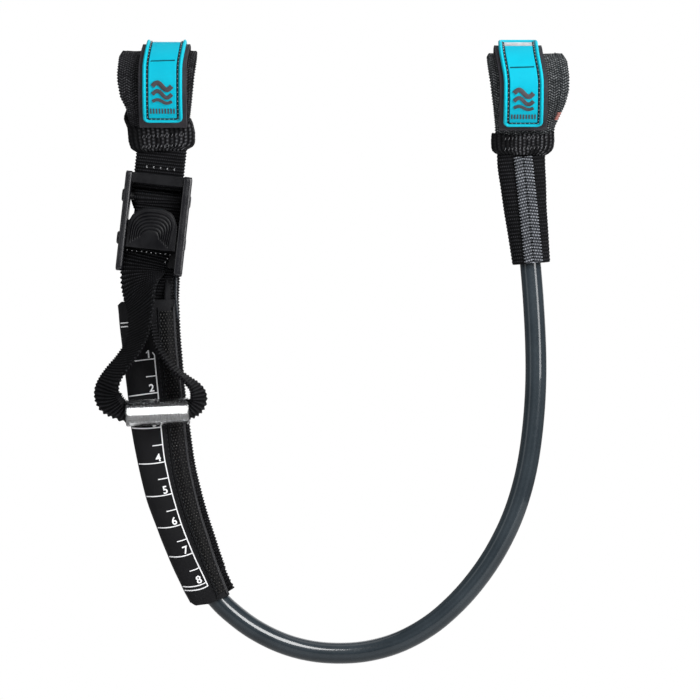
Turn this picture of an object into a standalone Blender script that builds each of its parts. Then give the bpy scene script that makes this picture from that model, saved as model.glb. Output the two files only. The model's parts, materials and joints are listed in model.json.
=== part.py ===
"""Adjustable windsurf harness line, hanging from its two boom attachments.

The boom's axis is the X axis and the origin lies on it, midway between the two attachments.
+X runs to the attachment with no buckle, +Z is up, and the side that faces the sailor is -Y.
Every size below is in millimetres; the helpers turn them into metres as they make each mesh.
"""

from math import cos, pi, radians, sin, tan, tau

import bmesh
import bpy
from mathutils import Matrix, Vector

MM = 0.001
GAP = 0.3

# Boom attachments
ATTACHMENT_X = 94.0
BOOM_LOOP_R = 15.6
BAND_WIDTH = 40.0
BAND_STEM_WIDTH = 28.0
BAND_T = 2.2
BAND_SHIFT = 2.4
STEM_T = 4.0
PATCH_T = 0.8
FLAP_WIDTH = 27.0
FLAP_T = 1.8
BADGE_WIDTH = 22.8
BADGE_T = 2.2
FRONT_ANGLE = -50.0
PATCH_ANGLE = -38.0
HINGE_ANGLE = 150.0
FLAP_CLEAR = 7.5
KEEPER_T = 1.8
KEEPER_HEIGHT = 13.0
KEEPER_TOP = -20.3
RIGHT_DROP = 2.0

# Webbing
WEBBING = 25.0
WEBBING_T = 1.6

# Cam buckle, in its own frame: u across, w to the rear, v up
BUCKLE_CENTRE = (-98.8, -2.0, -71.6)
BUCKLE_LEAN = 6.3
FRAME_WIDTH = 33.4
FRAME_HEIGHT = 52.0
RAIL_T = 3.2
FRAME_FRONT = -8.0
FRAME_REAR = 7.5
FLOOR_W = (3.0, 4.6)
ANCHOR_BAR = (2.0, 22.0)
TURN_BAR = (2.2, 13.4)
CAM_PIN = (-2.8, -9.0)
BAR_R = 2.0
PIN_R = 1.5
PIN_HEAD_R = 3.3
PIN_HEAD_T = 1.0
LEVER_WIDTH = 25.6
LEVER_TOP = 8.1
LEVER_BOTTOM = -13.2
LEVER_T = 2.0
HUB_R = 3.1

# Sleeve, hose and handle
SLEEVE_WALL = 1.1
HOSE_R = 5.5
HOSE_WALL = 2.1
ROPE_R = 2.9
FERRULE_LENGTH = 10.0
GRIP_R = 6.9
GRIP_WALL = 1.4
GRIP_LENGTH = 33.0
GRIP_CENTRE = (-96.2, -11.6, -169.5)
GRIP_SLOPE = 3.6

SLEEVE_ROUTE = [
    (-100.9, 4.0, -112.3), (-99.8, 4.0, -132.1), (-97.8, 4.0, -152.9), (-94.9, 4.0, -176.0),
    (-91.4, 4.0, -194.5), (-87.4, 4.0, -211.1), (-82.3, 4.0, -227.8), (-76.2, 4.0, -244.4),
    (-69.6, 4.0, -260.2), (-66.4, 4.0, -267.3),
]

HOSE_ROUTE = [
    (-82.9, 4.0, -227.2), (-80.2, 4.0, -237.6), (-76.7, 4.0, -248.0), (-72.1, 4.0, -257.9),
    (-65.9, 4.0, -266.8), (-58.7, 4.0, -274.0), (-47.0, 3.9, -282.8), (-32.8, 3.7, -290.0),
    (-18.2, 3.4, -294.2), (-3.1, 3.0, -295.6), (13.0, 2.5, -294.4), (29.6, 2.0, -289.6),
    (45.2, 1.5, -281.0), (58.2, 1.1, -270.0), (69.2, 0.8, -257.6), (78.8, 0.5, -243.6),
    (87.1, 0.3, -227.3), (92.8, 0.2, -211.1), (96.7, 0.1, -194.0), (99.3, 0.0, -173.7),
    (100.5, 0.0, -152.9), (100.3, 0.0, -132.1), (99.2, 0.0, -111.3), (97.6, 0.0, -91.5),
    (96.1, 0.0, -75.2),
]

# Pull strap: centre, half the width, and how far it is turned about its own length
PULL_ROUTE = [
    ((-99.7, -0.1, -78.8), 12.0, 0.0), ((-100.9, -0.1, -87.5), 12.0, 0.0),
    ((-102.4, -0.3, -96.5), 12.0, 0.0), ((-103.4, -2.8, -104.0), 12.0, 6.0),
    ((-104.0, -6.2, -112.0), 12.0, 16.0), ((-104.6, -8.6, -122.0), 11.6, 26.0),
    ((-105.8, -10.4, -131.0), 11.2, 30.0),
]
LOOP_ROUTE = [
    ((-106.0, -10.9, -132.7), 11.2, 30.0, 0.8), ((-107.4, -11.6, -137.6), 11.0, 32.0, 0.8),
    ((-112.6, -12.4, -145.4), 10.4, 38.0, 0.9),
    ((-119.6, -12.8, -153.4), 9.6, 40.0, 1.0), ((-123.4, -12.4, -161.0), 8.4, 35.0, 1.2),
    ((-121.6, -11.8, -168.0), 6.6, 25.0, 1.8), ((-115.0, -11.6, -170.6), 4.6, 10.0, 3.2),
    ((-106.0, -11.6, -170.1), 4.4, 0.0, 3.6), ((-96.2, -11.6, -169.5), 4.4, 0.0, 3.6),
    ((-86.0, -11.6, -168.9), 4.4, 0.0, 3.6), ((-77.6, -11.8, -168.0), 4.8, 20.0, 3.0),
    ((-72.8, -12.2, -163.4), 5.6, 45.0, 2.2), ((-74.0, -12.6, -156.8), 6.2, 60.0, 1.8),
    ((-80.4, -12.8, -150.4), 6.4, 65.0, 1.7), ((-88.4, -12.4, -144.6), 6.2, 60.0, 1.6),
    ((-94.6, -12.0, -140.6), 5.6, 50.0, 1.5),
]

PARTS = None
CUTTERS = None
PAINT = {}


def reset_scene():
    """Empties the scene and makes the two collections."""
    global PARTS, CUTTERS
    for old in list(bpy.data.objects):
        bpy.data.objects.remove(old)
    PARTS = bpy.data.collections.new("harness_line")
    CUTTERS = bpy.data.collections.new("cutters")
    bpy.context.scene.collection.children.link(PARTS)
    bpy.context.scene.collection.children.link(CUTTERS)


def material(name, colour, roughness, metallic=0.0):
    """One Principled material for each finish."""
    if name not in PAINT:
        made = bpy.data.materials.new(name)
        made.use_nodes = True
        shader = made.node_tree.nodes["Principled BSDF"]
        shader.inputs["Base Color"].default_value = (*colour, 1.0)
        shader.inputs["Roughness"].default_value = roughness
        shader.inputs["Metallic"].default_value = metallic
        made.diffuse_color = (*colour, 1.0)
        PAINT[name] = made
    return PAINT[name]


def black_webbing():
    return material("black_webbing", (0.012, 0.012, 0.014), 0.75)


def grey_webbing():
    return material("grey_webbing", (0.16, 0.17, 0.18), 0.8)


def strap_fabric():
    return material("strap_fabric", (0.045, 0.043, 0.047), 0.7)


def hook_tape():
    return material("hook_tape", (0.02, 0.02, 0.022), 0.9)


def badge_rubber():
    return material("badge_rubber", (0.0, 0.6, 0.78), 0.45)


def emblem_rubber():
    return material("emblem_rubber", (0.12, 0.11, 0.12), 0.5)


def black_plastic():
    return material("black_plastic", (0.015, 0.015, 0.017), 0.35)


def steel():
    return material("steel", (0.62, 0.62, 0.6), 0.3, 1.0)


def blackened_steel():
    return material("blackened_steel", (0.03, 0.03, 0.032), 0.4, 0.6)


def sleeve_fabric():
    return material("sleeve_fabric", (0.013, 0.013, 0.015), 0.6)


def hose_plastic():
    return material("hose_plastic", (0.035, 0.045, 0.055), 0.2)


def rope_fibre():
    return material("rope_fibre", (0.55, 0.55, 0.52), 0.8)


def clear_plastic():
    return material("clear_plastic", (0.85, 0.88, 0.9), 0.08)


def add(name, mesh, paint, collection=None):
    """Links a mesh or curve as a new object with one material."""
    made = bpy.data.objects.new(name, mesh)
    (collection or PARTS).objects.link(made)
    mesh.materials.append(paint)
    return made


def from_bmesh(name, shape, paint, collection=None):
    """Turns a bmesh in millimetres into an object in metres, shaded smooth with sharp edges kept."""
    bmesh.ops.scale(shape, vec=(MM, MM, MM), verts=shape.verts)
    bmesh.ops.recalc_face_normals(shape, faces=shape.faces)
    mesh = bpy.data.meshes.new(name)
    shape.to_mesh(mesh)
    shape.free()
    mesh.shade_smooth()
    mesh.set_sharp_from_angle(angle=radians(40))
    return add(name, mesh, paint, collection)


def as_mesh(obj):
    """Replaces a curve object by its welded mesh, in the same place."""
    name, matrix, paint = obj.name, obj.matrix_world.copy(), obj.data.materials[0]
    collection = obj.users_collection[0]
    graph = bpy.context.evaluated_depsgraph_get()
    mesh = bpy.data.meshes.new_from_object(obj.evaluated_get(graph))
    bpy.data.objects.remove(obj)
    welded = bmesh.new()
    welded.from_mesh(mesh)
    bmesh.ops.remove_doubles(welded, verts=welded.verts, dist=0.01 * MM)
    bmesh.ops.recalc_face_normals(welded, faces=welded.faces)
    welded.to_mesh(mesh)
    welded.free()
    mesh.materials.clear()
    made = add(name, mesh, paint, collection)
    made.matrix_world = matrix
    return made


def as_cutter(obj):
    """Keeps a helper solid out of the model."""
    for home in list(obj.users_collection):
        home.objects.unlink(obj)
    CUTTERS.objects.link(obj)
    obj.hide_render = True
    obj.display_type = "WIRE"
    return obj


def boolean(obj, other, operation):
    """Cuts obj by another solid, or joins the two; the other solid is placed on the same axes."""
    as_cutter(other)
    other.parent = obj.parent
    step = obj.modifiers.new(other.name, "BOOLEAN")
    step.operation = operation
    step.object = other
    return obj


def smooth(points, steps):
    """A Catmull-Rom curve through the points, as a list of vectors."""
    knots = [Vector(p) for p in points]
    knots = [2 * knots[0] - knots[1], *knots, 2 * knots[-1] - knots[-2]]
    curve = []
    for i in range(1, len(knots) - 2):
        before, start, end, after = knots[i - 1 : i + 3]
        for step in range(steps):
            t = step / steps
            pull = (2 * before - 5 * start + 4 * end - after) * t**2
            twist = (3 * start - before - 3 * end + after) * t**3
            curve.append(0.5 * (2 * start + (end - before) * t + pull + twist))
    curve.append(knots[-2])
    return curve


def tangents(points):
    """Unit directions along a line of points."""
    last = len(points) - 1
    return [(points[min(i + 1, last)] - points[max(i - 1, 0)]).normalized() for i in range(last + 1)]


def strap(name, centres, sides, width, thickness, paint):
    """Flat webbing: an open strip along centres, as wide as width, thickened evenly both ways."""
    shape = bmesh.new()
    rows = []
    for centre, side in zip(centres, sides):
        reach = Vector(side) * width / 2
        rows.append([shape.verts.new(Vector(centre) + reach * s) for s in (-1, 1)])
    for lower, upper in zip(rows, rows[1:]):
        shape.faces.new((lower[0], lower[1], upper[1], upper[0]))
    made = from_bmesh(name, shape, paint)
    solid = made.modifiers.new("thickness", "SOLIDIFY")
    solid.thickness = thickness * MM
    solid.offset = 0.0
    solid.use_even_offset = True
    return made


def ring(centre, across, depth, half_width, half_depth, power=3.0, count=20):
    """One cross-section: a rounded rectangle about centre, in the plane of across and depth."""
    points = []
    for i in range(count):
        a = tau * (i + 0.5) / count
        x = abs(cos(a)) ** (2 / power) * (1 if cos(a) > 0 else -1)
        y = abs(sin(a)) ** (2 / power) * (1 if sin(a) > 0 else -1)
        points.append(Vector(centre) + across * x * half_width + depth * y * half_depth)
    return points


def loft(name, rings, paint, collection=None):
    """A closed solid through unlike cross-sections."""
    shape = bmesh.new()
    rows = [[shape.verts.new(p) for p in points] for points in rings]
    for lower, upper in zip(rows, rows[1:]):
        for i in range(len(lower)):
            j = (i + 1) % len(lower)
            shape.faces.new((lower[i], lower[j], upper[j], upper[i]))
    shape.faces.new(rows[0])
    shape.faces.new(rows[-1])
    return from_bmesh(name, shape, paint, collection)


def plate(name, outlines, thickness, turn, at, paint):
    """A flat outline with its holes, in local x and y, given a thickness along local z."""
    curve = bpy.data.curves.new(name, "CURVE")
    curve.dimensions = "2D"
    curve.fill_mode = "BOTH"
    curve.extrude = thickness / 2 * MM
    for outline in outlines:
        line = curve.splines.new("POLY")
        line.points.add(len(outline) - 1)
        for point, (x, y) in zip(line.points, outline):
            point.co = (x * MM, y * MM, 0.0, 1.0)
        line.use_cyclic_u = True
    made = add(name, curve, paint)
    made.rotation_euler = turn
    made.location = Vector(at) * MM
    bpy.context.view_layer.update()
    return as_mesh(made)


def box(name, low, high, paint):
    """A plain block between two corners."""
    shape = bmesh.new()
    bmesh.ops.create_cube(shape, size=1.0)
    low, high = Vector(low), Vector(high)
    bmesh.ops.scale(shape, vec=high - low, verts=shape.verts)
    bmesh.ops.translate(shape, vec=(high + low) / 2, verts=shape.verts)
    return from_bmesh(name, shape, paint)


def turned(name, profile, centre, axis, paint, closed=False):
    """A piece turned about a line: profile holds (radius, distance along) from top to bottom."""
    shape = bmesh.new()
    verts = [shape.verts.new((r, 0, z)) for r, z in profile]
    for start, end in zip(verts, verts[1:]):
        shape.edges.new((start, end))
    if closed:
        shape.edges.new((verts[-1], verts[0]))
    bmesh.ops.scale(shape, vec=(MM, MM, MM), verts=shape.verts)
    mesh = bpy.data.meshes.new(name)
    shape.to_mesh(mesh)
    shape.free()
    made = add(name, mesh, paint)
    spin = made.modifiers.new("turn", "SCREW")
    spin.steps = 24
    spin.render_steps = 24
    spin.use_merge_vertices = True
    spin.merge_threshold = 0.00001
    made.rotation_mode = "QUATERNION"
    made.rotation_quaternion = Vector(axis).to_track_quat("Z", "Y")
    made.location = Vector(centre) * MM
    return made


def pipe(name, points, radius, sides, paint, caps=True):
    """A round tube along a line of points."""
    curve = bpy.data.curves.new(name, "CURVE")
    curve.dimensions = "3D"
    curve.bevel_depth = radius * MM
    curve.bevel_resolution = sides
    curve.use_fill_caps = caps
    line = curve.splines.new("POLY")
    line.points.add(len(points) - 1)
    for point, centre in zip(line.points, points):
        point.co = (*(Vector(centre) * MM), 1.0)
    return add(name, curve, paint)


def on_loop(radius, angle):
    """The (y, z) of a point round the boom: 0 degrees in front, 90 on top, 180 behind."""
    return (-radius * cos(radians(angle)), radius * sin(radians(angle)))


def arc(radius, first, last, steps):
    """Points (y, z) round the boom from one angle to another."""
    return [on_loop(radius, first + (last - first) * i / steps) for i in range(steps + 1)]


def front_tail(radius, z, clear):
    """Points (y, z) of a layer below its round part: straight towards the keeper, then down in front."""
    y, top = on_loop(radius, FRONT_ANGLE)
    slope = tan(radians(-FRONT_ANGLE))
    bend = top + (clear + y) / slope
    if bend <= z:
        return [(y + (top - z) * slope, z)]
    return [(-clear, z), (-clear, bend)]


def layer(name, line, x, width, thickness, paint):
    """A layer of strap round the boom, from its (y, z) centre line."""
    centres = [Vector((x, y, z)) for y, z in line]
    return strap(name, centres, [(1, 0, 0)] * len(centres), width, thickness, paint)


def rounded(half_x, half_y, radius, steps=5):
    """A rectangle with round corners."""
    corners = [(1, 1, 0.0), (-1, 1, 90.0), (-1, -1, 180.0), (1, -1, 270.0)]
    points = []
    for sx, sy, first in corners:
        for i in range(steps + 1):
            a = radians(first + 90.0 * i / steps)
            x = sx * (half_x - radius) + radius * cos(a)
            y = sy * (half_y - radius) + radius * sin(a)
            points.append((x, y))
    return points


def boom_band(name, x, drop):
    """The wide band: a drop-shaped loop for the boom with a stem below it, narrowed towards the stem."""
    outer_r = BOOM_LOOP_R + BAND_T
    lean = -radians(FRONT_ANGLE)
    side_y, side_z = on_loop(outer_r, FRONT_ANGLE)
    reach = (-STEM_T / 2 - side_y) / sin(lean)
    neck = side_z - reach * cos(lean)
    foot = KEEPER_TOP - drop - KEEPER_HEIGHT + 2.0
    front = arc(outer_r, FRONT_ANGLE, 180.0 - FRONT_ANGLE, 28)
    outer = [(-STEM_T / 2, foot), (-STEM_T / 2, neck), *front, (STEM_T / 2, neck), (STEM_T / 2, foot)]
    inner_y, inner_z = on_loop(BOOM_LOOP_R, FRONT_ANGLE)
    tip = inner_z + inner_y / sin(lean) * cos(lean)
    inner = [(0.0, tip), *arc(BOOM_LOOP_R, FRONT_ANGLE, 180.0 - FRONT_ANGLE, 28)]
    made = plate(name, [outer, inner], BAND_WIDTH, (pi / 2, 0, pi / 2), (x, 0, 0), strap_fabric())
    made.data.transform(made.matrix_world)
    made.matrix_world = Matrix.Identity(4)
    for vert in made.data.vertices:
        share = min(max((-6.0 - vert.co.z / MM) / 12.0, 0.0), 1.0)
        share = share * share * (3 - 2 * share)
        narrow = 1 + (BAND_STEM_WIDTH / BAND_WIDTH - 1) * share
        centre = x + (ATTACHMENT_X * (1 if x > 0 else -1) - x) * share
        vert.co.x = (centre + (vert.co.x / MM - x) * narrow) * MM
    return made


def keeper(name, x, drop):
    """The sewn webbing loop that the closure strap tucks into."""
    front, rear = -4.3, 7.4
    depth = (rear - front) / 2
    half = WEBBING / 2 + 3.0
    hole = rounded(half, depth, 1.6)
    outer = rounded(half + KEEPER_T, depth + KEEPER_T, 3.0)
    height = KEEPER_TOP - drop - KEEPER_HEIGHT / 2
    at = (x, (front + rear) / 2, height)
    return plate(name, [outer, hole], KEEPER_HEIGHT, (0, 0, 0), at, black_webbing())


def boom_attachment(side, x, drop):
    """One complete hook-and-loop boom attachment; the band stands out on its outer side."""
    outward = 1 if x > 0 else -1
    band_r = BOOM_LOOP_R + BAND_T
    patch_r = band_r + GAP + PATCH_T / 2
    hook_r = patch_r + PATCH_T + GAP
    flap_r = hook_r + PATCH_T / 2 + GAP + FLAP_T / 2
    badge_r = flap_r + FLAP_T / 2 + GAP + BADGE_T / 2
    emblem_r = badge_r + BADGE_T / 2 + GAP + PATCH_T / 2
    flap_end = KEEPER_TOP - 0.9 - drop
    clear = FLAP_CLEAR - flap_r
    boom_band(f"boom_band_{side}", x + outward * BAND_SHIFT, drop)
    layer(f"loop_patch_{side}", arc(patch_r, PATCH_ANGLE, 60.0, 14), x, 24.0, PATCH_T, hook_tape())
    layer(f"hook_patch_{side}", arc(hook_r, PATCH_ANGLE, 60.0, 14), x, 24.0, PATCH_T, hook_tape())
    over = [*front_tail(flap_r, flap_end, clear + flap_r), *arc(flap_r, FRONT_ANGLE, HINGE_ANGLE - 1.0, 26)]
    layer(f"flap_strap_{side}", over, x, FLAP_WIDTH, FLAP_T, strap_fabric())
    mouth = KEEPER_TOP - drop
    rear = [*arc(flap_r, HINGE_ANGLE + 1.0, 180.0 - FRONT_ANGLE, 12), (6.2, mouth + 0.6)]
    rear += [(5.1, mouth - 1.2), (5.1, mouth - KEEPER_HEIGHT + 1.0)]
    layer(f"closure_strap_{side}", rear, x, FLAP_WIDTH, FLAP_T, strap_fabric())
    cover = [*front_tail(badge_r, flap_end + 2.4, clear + badge_r), *arc(badge_r, FRONT_ANGLE, 118.0, 22)]
    layer(f"badge_{side}", cover, x, BADGE_WIDTH, BADGE_T, badge_rubber())
    layer(f"badge_emblem_{side}", arc(emblem_r, -20.0, 6.0, 5), x, 11.0, PATCH_T, emblem_rubber())
    keeper(f"keeper_{side}", x, drop)


def buckle_frame_axes():
    """The empty that everything on the buckle is built on."""
    axes = bpy.data.objects.new("buckle_axes", None)
    PARTS.objects.link(axes)
    axes.location = Vector(BUCKLE_CENTRE) * MM
    axes.rotation_euler = (0, radians(BUCKLE_LEAN), 0)
    bpy.context.view_layer.update()
    return axes


def rail(name, u):
    """One side of the frame: a rounded plate, narrower at its foot."""
    half = FRAME_HEIGHT / 2
    outline = [
        (FRAME_FRONT + 1.6, half), (FRAME_REAR - 1.6, half), (FRAME_REAR - 0.4, half - 0.5),
        (FRAME_REAR, half - 1.8), (FRAME_REAR, -half + 6.0), (FRAME_REAR - 1.2, -half + 1.2),
        (FRAME_REAR - 2.6, -half), (FRAME_FRONT + 3.4, -half), (FRAME_FRONT + 1.8, -half + 1.2),
        (FRAME_FRONT, -half + 9.0), (FRAME_FRONT, half - 1.8), (FRAME_FRONT + 0.4, half - 0.5),
    ]
    made = plate(name, [outline], RAIL_T, (pi / 2, 0, pi / 2), (u, 0, 0), black_plastic())
    rim = made.modifiers.new("rim", "BEVEL")
    rim.width = 0.6 * MM
    rim.segments = 2
    rim.limit_method = "ANGLE"
    rim.angle_limit = radians(50)
    return made


def bar(name, at, radius, length, paint):
    """A round bar across the buckle, from its (w, v)."""
    shape = bmesh.new()
    turn = Matrix.Rotation(pi / 2, 4, "Y")
    place = Matrix.Translation((0, at[0], at[1])) @ turn
    bmesh.ops.create_cone(
        shape, cap_ends=True, segments=20, radius1=radius, radius2=radius, depth=length, matrix=place
    )
    return from_bmesh(name, shape, paint)


def headed_pin(name, at, radius, axes):
    """A steel pin through both rails, with a low head outside each."""
    inner = FRAME_WIDTH / 2 + GAP
    outer = inner + PIN_HEAD_T
    profile = [
        (0, outer), (PIN_HEAD_R - 0.6, outer), (PIN_HEAD_R, outer - 0.5), (PIN_HEAD_R, inner),
        (radius, inner), (radius, -inner), (PIN_HEAD_R, -inner), (PIN_HEAD_R, -outer + 0.5),
        (PIN_HEAD_R - 0.6, -outer), (0, -outer),
    ]
    made = turned(name, profile, (0, at[0], at[1]), (1, 0, 0), blackened_steel())
    made.parent = axes
    return made


def buckle_frame(axes):
    """The moulded frame: two rails, front bridge, rear floor, anchor bar and foot bar."""
    rail_u = FRAME_WIDTH / 2 - RAIL_T / 2
    inside = FRAME_WIDTH / 2 - RAIL_T + 0.8
    frame = rail("buckle_frame", -rail_u)
    frame.parent = axes
    boolean(frame, rail("rail_right", rail_u), "UNION")
    half = FRAME_HEIGHT / 2
    low_w, high_w = FLOOR_W
    low, high = (-inside, FRAME_FRONT + 0.6, half - 5.7), (inside, FRAME_FRONT + 2.8, half - 0.4)
    bridge = box("bridge", low, high, black_plastic())
    edge = bridge.modifiers.new("edge", "BEVEL")
    edge.width = 0.5 * MM
    edge.segments = 2
    boolean(frame, bridge, "UNION")
    floor = box("floor", (-inside, low_w, -half + 4.0), (inside, high_w, 1.0), black_plastic())
    boolean(frame, floor, "UNION")
    boolean(frame, bar("anchor", ANCHOR_BAR, BAR_R, 2 * inside, black_plastic()), "UNION")
    for name, at, radius in (("turn_hole", TURN_BAR, BAR_R), ("cam_hole", CAM_PIN, PIN_R)):
        hole = bar(name, at, radius + GAP, FRAME_WIDTH + 4.0, black_plastic())
        boolean(frame, hole, "DIFFERENCE")


def cam_lever(axes):
    """The thumb lever: arched pad, hub on the cam pin and a toothed nose on the webbing."""
    half = LEVER_WIDTH / 2
    rise = half * 0.8
    arch = []
    for i in range(21):
        a = pi * i / 20
        arch.append((half * cos(a), LEVER_TOP - rise + rise * sin(a)))
    outline = [(half, LEVER_BOTTOM), *arch, (-half, LEVER_BOTTOM)]
    pad_w = FRAME_FRONT - 0.2 + LEVER_T / 2
    pad = plate("cam_lever", [outline], LEVER_T, (pi / 2, 0, 0), (0, pad_w, 0), black_plastic())
    pad.parent = axes
    edge = pad.modifiers.new("edge", "BEVEL")
    edge.width = 0.5 * MM
    edge.segments = 2
    edge.limit_method = "ANGLE"
    edge.angle_limit = radians(50)
    w, v = CAM_PIN
    hub = bar("hub", (w, v), HUB_R, 22.4, black_plastic())
    hub.location.x = 1.3 * MM
    boolean(pad, hub, "UNION")
    block = box("neck", (-9.0, pad_w, v - 1.4), (11.6, w, v + 1.8), black_plastic())
    boolean(pad, block, "UNION")
    nose = [(w - 0.6, v - 0.4), (w + 2.2, v - 0.6), (0.8, v - 3.0), (0.2, v - 4.2), (w - 0.4, v - 2.6)]
    tooth = plate("nose", [nose], 20.6, (pi / 2, 0, pi / 2), (1.3, 0, 0), black_plastic())
    boolean(pad, tooth, "UNION")
    bore = bar("bore", (w, v), PIN_R + GAP, 60.0, black_plastic())
    boolean(pad, bore, "DIFFERENCE")


def cam_spring(axes):
    """The wire coil beside the hub that shuts the cam."""
    turns, steps, radius, wire = 2, 12, 2.5, 0.35
    w, v = CAM_PIN
    points = []
    for i in range(turns * steps + 1):
        a = tau * i / steps
        points.append((-12.7 + 2.1 * i / (turns * steps), w + radius * cos(a), v + radius * sin(a)))
    made = pipe("cam_spring", points, wire, 1, steel())
    made.parent = axes
    return made


def tilted(points):
    """Centres (w, v) on the buckle as points of its own frame."""
    return [Vector((0, w, v)) for w, v in points]


def around(bar_at, radius, first, last, steps):
    """Webbing round a bar: (w, v) at angles measured from the front over the top."""
    w, v = bar_at
    points = []
    for i in range(steps + 1):
        a = radians(first + (last - first) * i / steps)
        points.append((w - radius * cos(a), v + radius * sin(a)))
    return points


def upper_webbing(axes):
    """The strap from the boom band, down round the anchor bar and up again."""
    wrap_r = BAR_R + GAP + WEBBING_T / 2
    top = 47.0
    front_w, rear_w = ANCHOR_BAR[0] - wrap_r, ANCHOR_BAR[0] + wrap_r
    line = [(front_w, top), *around(ANCHOR_BAR, wrap_r, 0.0, -180.0, 12), (rear_w, top)]
    sides = [(1, 0, 0)] * len(line)
    upper = strap("upper_webbing", tilted(line), sides, WEBBING + 1.0, WEBBING_T, black_webbing())
    upper.parent = axes


def sleeve_frame():
    """Centres, directions across the sleeve, and its share of the whole length."""
    centres = smooth(SLEEVE_ROUTE, 2)
    across = [Vector((-d.z, 0, d.x)) * (1 if -d.z > 0 else -1) for d in tangents(centres)]
    shares = [i / (len(centres) - 1) for i in range(len(centres))]
    return centres, across, shares


def adjust_webbing():
    """The adjusting strap: from the hose up the sleeve, behind the floor, over the turn bar to the cam."""
    wrap_r = BAR_R + GAP + WEBBING_T / 2
    lean = radians(BUCKLE_LEAN)
    place = Matrix.Translation(BUCKLE_CENTRE) @ Matrix.Rotation(lean, 4, "Y")
    behind = FLOOR_W[1] + GAP + WEBBING_T / 2
    local = [(0.0, FLOOR_W[0] - 1.1, -6.5), (0.0, 0.9, 3.0)]
    local += [(0.0, w, v) for w, v in around(TURN_BAR, wrap_r, -8.0, 172.0, 12)]
    local += [(0.0, behind, 4.0), (0.0, behind, -10.0), (0.0, behind, -27.0)]
    centres = [place @ Vector(p) for p in local]
    across = [place.to_3x3() @ Vector((1, 0, 0)) for _ in local]
    inside, sideways, shares = sleeve_frame()
    for centre, side, share in zip(inside, sideways, shares):
        if share < 0.6:
            centres.append(centre)
            across.append(side)
    end, along = hose_start()
    centres.append(end - along * (FERRULE_LENGTH + 3 * GAP))
    across.append(Vector((-along.z, 0, along.x)))
    strap("adjust_webbing", centres, across, WEBBING - 1.0, WEBBING_T, black_webbing())


def hose_start():
    """The adjusting end of the hose, inside the sleeve, and the way it runs from there."""
    points = smooth(HOSE_ROUTE, 2)
    return points[0], tangents(points)[0]


def turned_sections(route, thickness=None):
    """Cross-sections of a strap that turns about its own length as it runs."""
    centres = smooth([p[0] for p in route], 2)
    sizes = smooth([(p[1], p[2], p[3] if len(p) > 3 else thickness) for p in route], 2)
    rings = []
    for centre, along, (half, turn, deep) in zip(centres, tangents(centres), sizes):
        flat = Vector((along.z, 0, -along.x)).normalized()
        normal = along.cross(flat).normalized()
        spin = Matrix.Rotation(radians(turn), 3, along)
        rings.append(ring(centre, spin @ flat, spin @ normal, half, deep, 4.0, 12))
    return rings


def pull_strap():
    """The free end of the adjusting strap and the handle loop it is sewn into."""
    loft("pull_webbing", turned_sections(PULL_ROUTE, WEBBING_T / 2), black_webbing())
    loft("handle_loop", turned_sections(LOOP_ROUTE), black_webbing())


def grip_tube():
    """The clear plastic tube on the handle loop."""
    half = GRIP_LENGTH / 2
    inner = GRIP_R - GRIP_WALL
    profile = [(inner, half), (GRIP_R, half), (GRIP_R, -half), (inner, -half)]
    slope = radians(GRIP_SLOPE)
    turned("grip_tube", profile, GRIP_CENTRE, (cos(slope), 0, sin(slope)), clear_plastic(), closed=True)


def sleeve_width(share):
    """Half the sleeve's width along its length."""
    return 15.4 - 2.4 * share


def sleeve():
    """The ruler sleeve, open at both ends, with its mesh panel in front and carrier webbing behind."""
    centres, across, shares = sleeve_frame()
    depth = Vector((0, 1, 0))
    half_depth = HOSE_R + GAP + SLEEVE_WALL + 0.2
    outer, inner = [], []
    for centre, side, share in zip(centres, across, shares):
        wide = sleeve_width(share)
        outer.append(ring(centre, side, depth, wide, half_depth, 3.0, 24))
        inner.append(ring(centre, side, depth, wide - SLEEVE_WALL, half_depth - SLEEVE_WALL, 3.0, 24))
    first, last = tangents(centres)[0], tangents(centres)[-1]
    inner[0] = [p - first * 2.0 for p in inner[0]]
    inner[-1] = [p + last * 2.0 for p in inner[-1]]
    body = loft("ruler_sleeve", outer, sleeve_fabric())
    boolean(body, loft("sleeve_pocket", inner, sleeve_fabric()), "DIFFERENCE")
    trim = []
    for centre, side, share in zip(centres, across, shares):
        trim.append(centre + side * (sleeve_width(share) - 6.6) - depth * (half_depth + GAP + 0.4))
    strap("mesh_panel", trim[1:-1], across[1:-1], 9.0, 0.8, hook_tape())
    behind = depth * (half_depth + GAP + WEBBING_T / 2)
    carrier = [centre + side * 2.4 + behind for centre, side in zip(centres, across)]
    top = carrier[0] + Vector((0.8, -1.0, 9.0))
    hook = top + Vector((1.0, -2.4, 4.6))
    sides = [across[0], across[0], *across]
    strap("carrier_webbing", [hook, top, *carrier], sides, WEBBING, WEBBING_T, black_webbing())


def hose():
    """The line itself: a stiff hose with its core rope, and the ferrule on its adjusting end."""
    points = smooth(HOSE_ROUTE, 2)
    line = pipe("line_hose", points, HOSE_R, 2, hose_plastic(), caps=False)
    wall = line.modifiers.new("wall", "SOLIDIFY")
    wall.thickness = HOSE_WALL * MM
    wall.offset = -1.0
    pipe("core_rope", points[1:-1], ROPE_R, 2, rope_fibre())
    end, along = hose_start()
    half = FERRULE_LENGTH / 2
    profile = [(0, half), (HOSE_R, half), (HOSE_R, -half + 1.0), (HOSE_R - 1.0, -half), (0, -half)]
    turned("hose_ferrule", profile, end - along * (half + GAP), along, steel())


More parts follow.
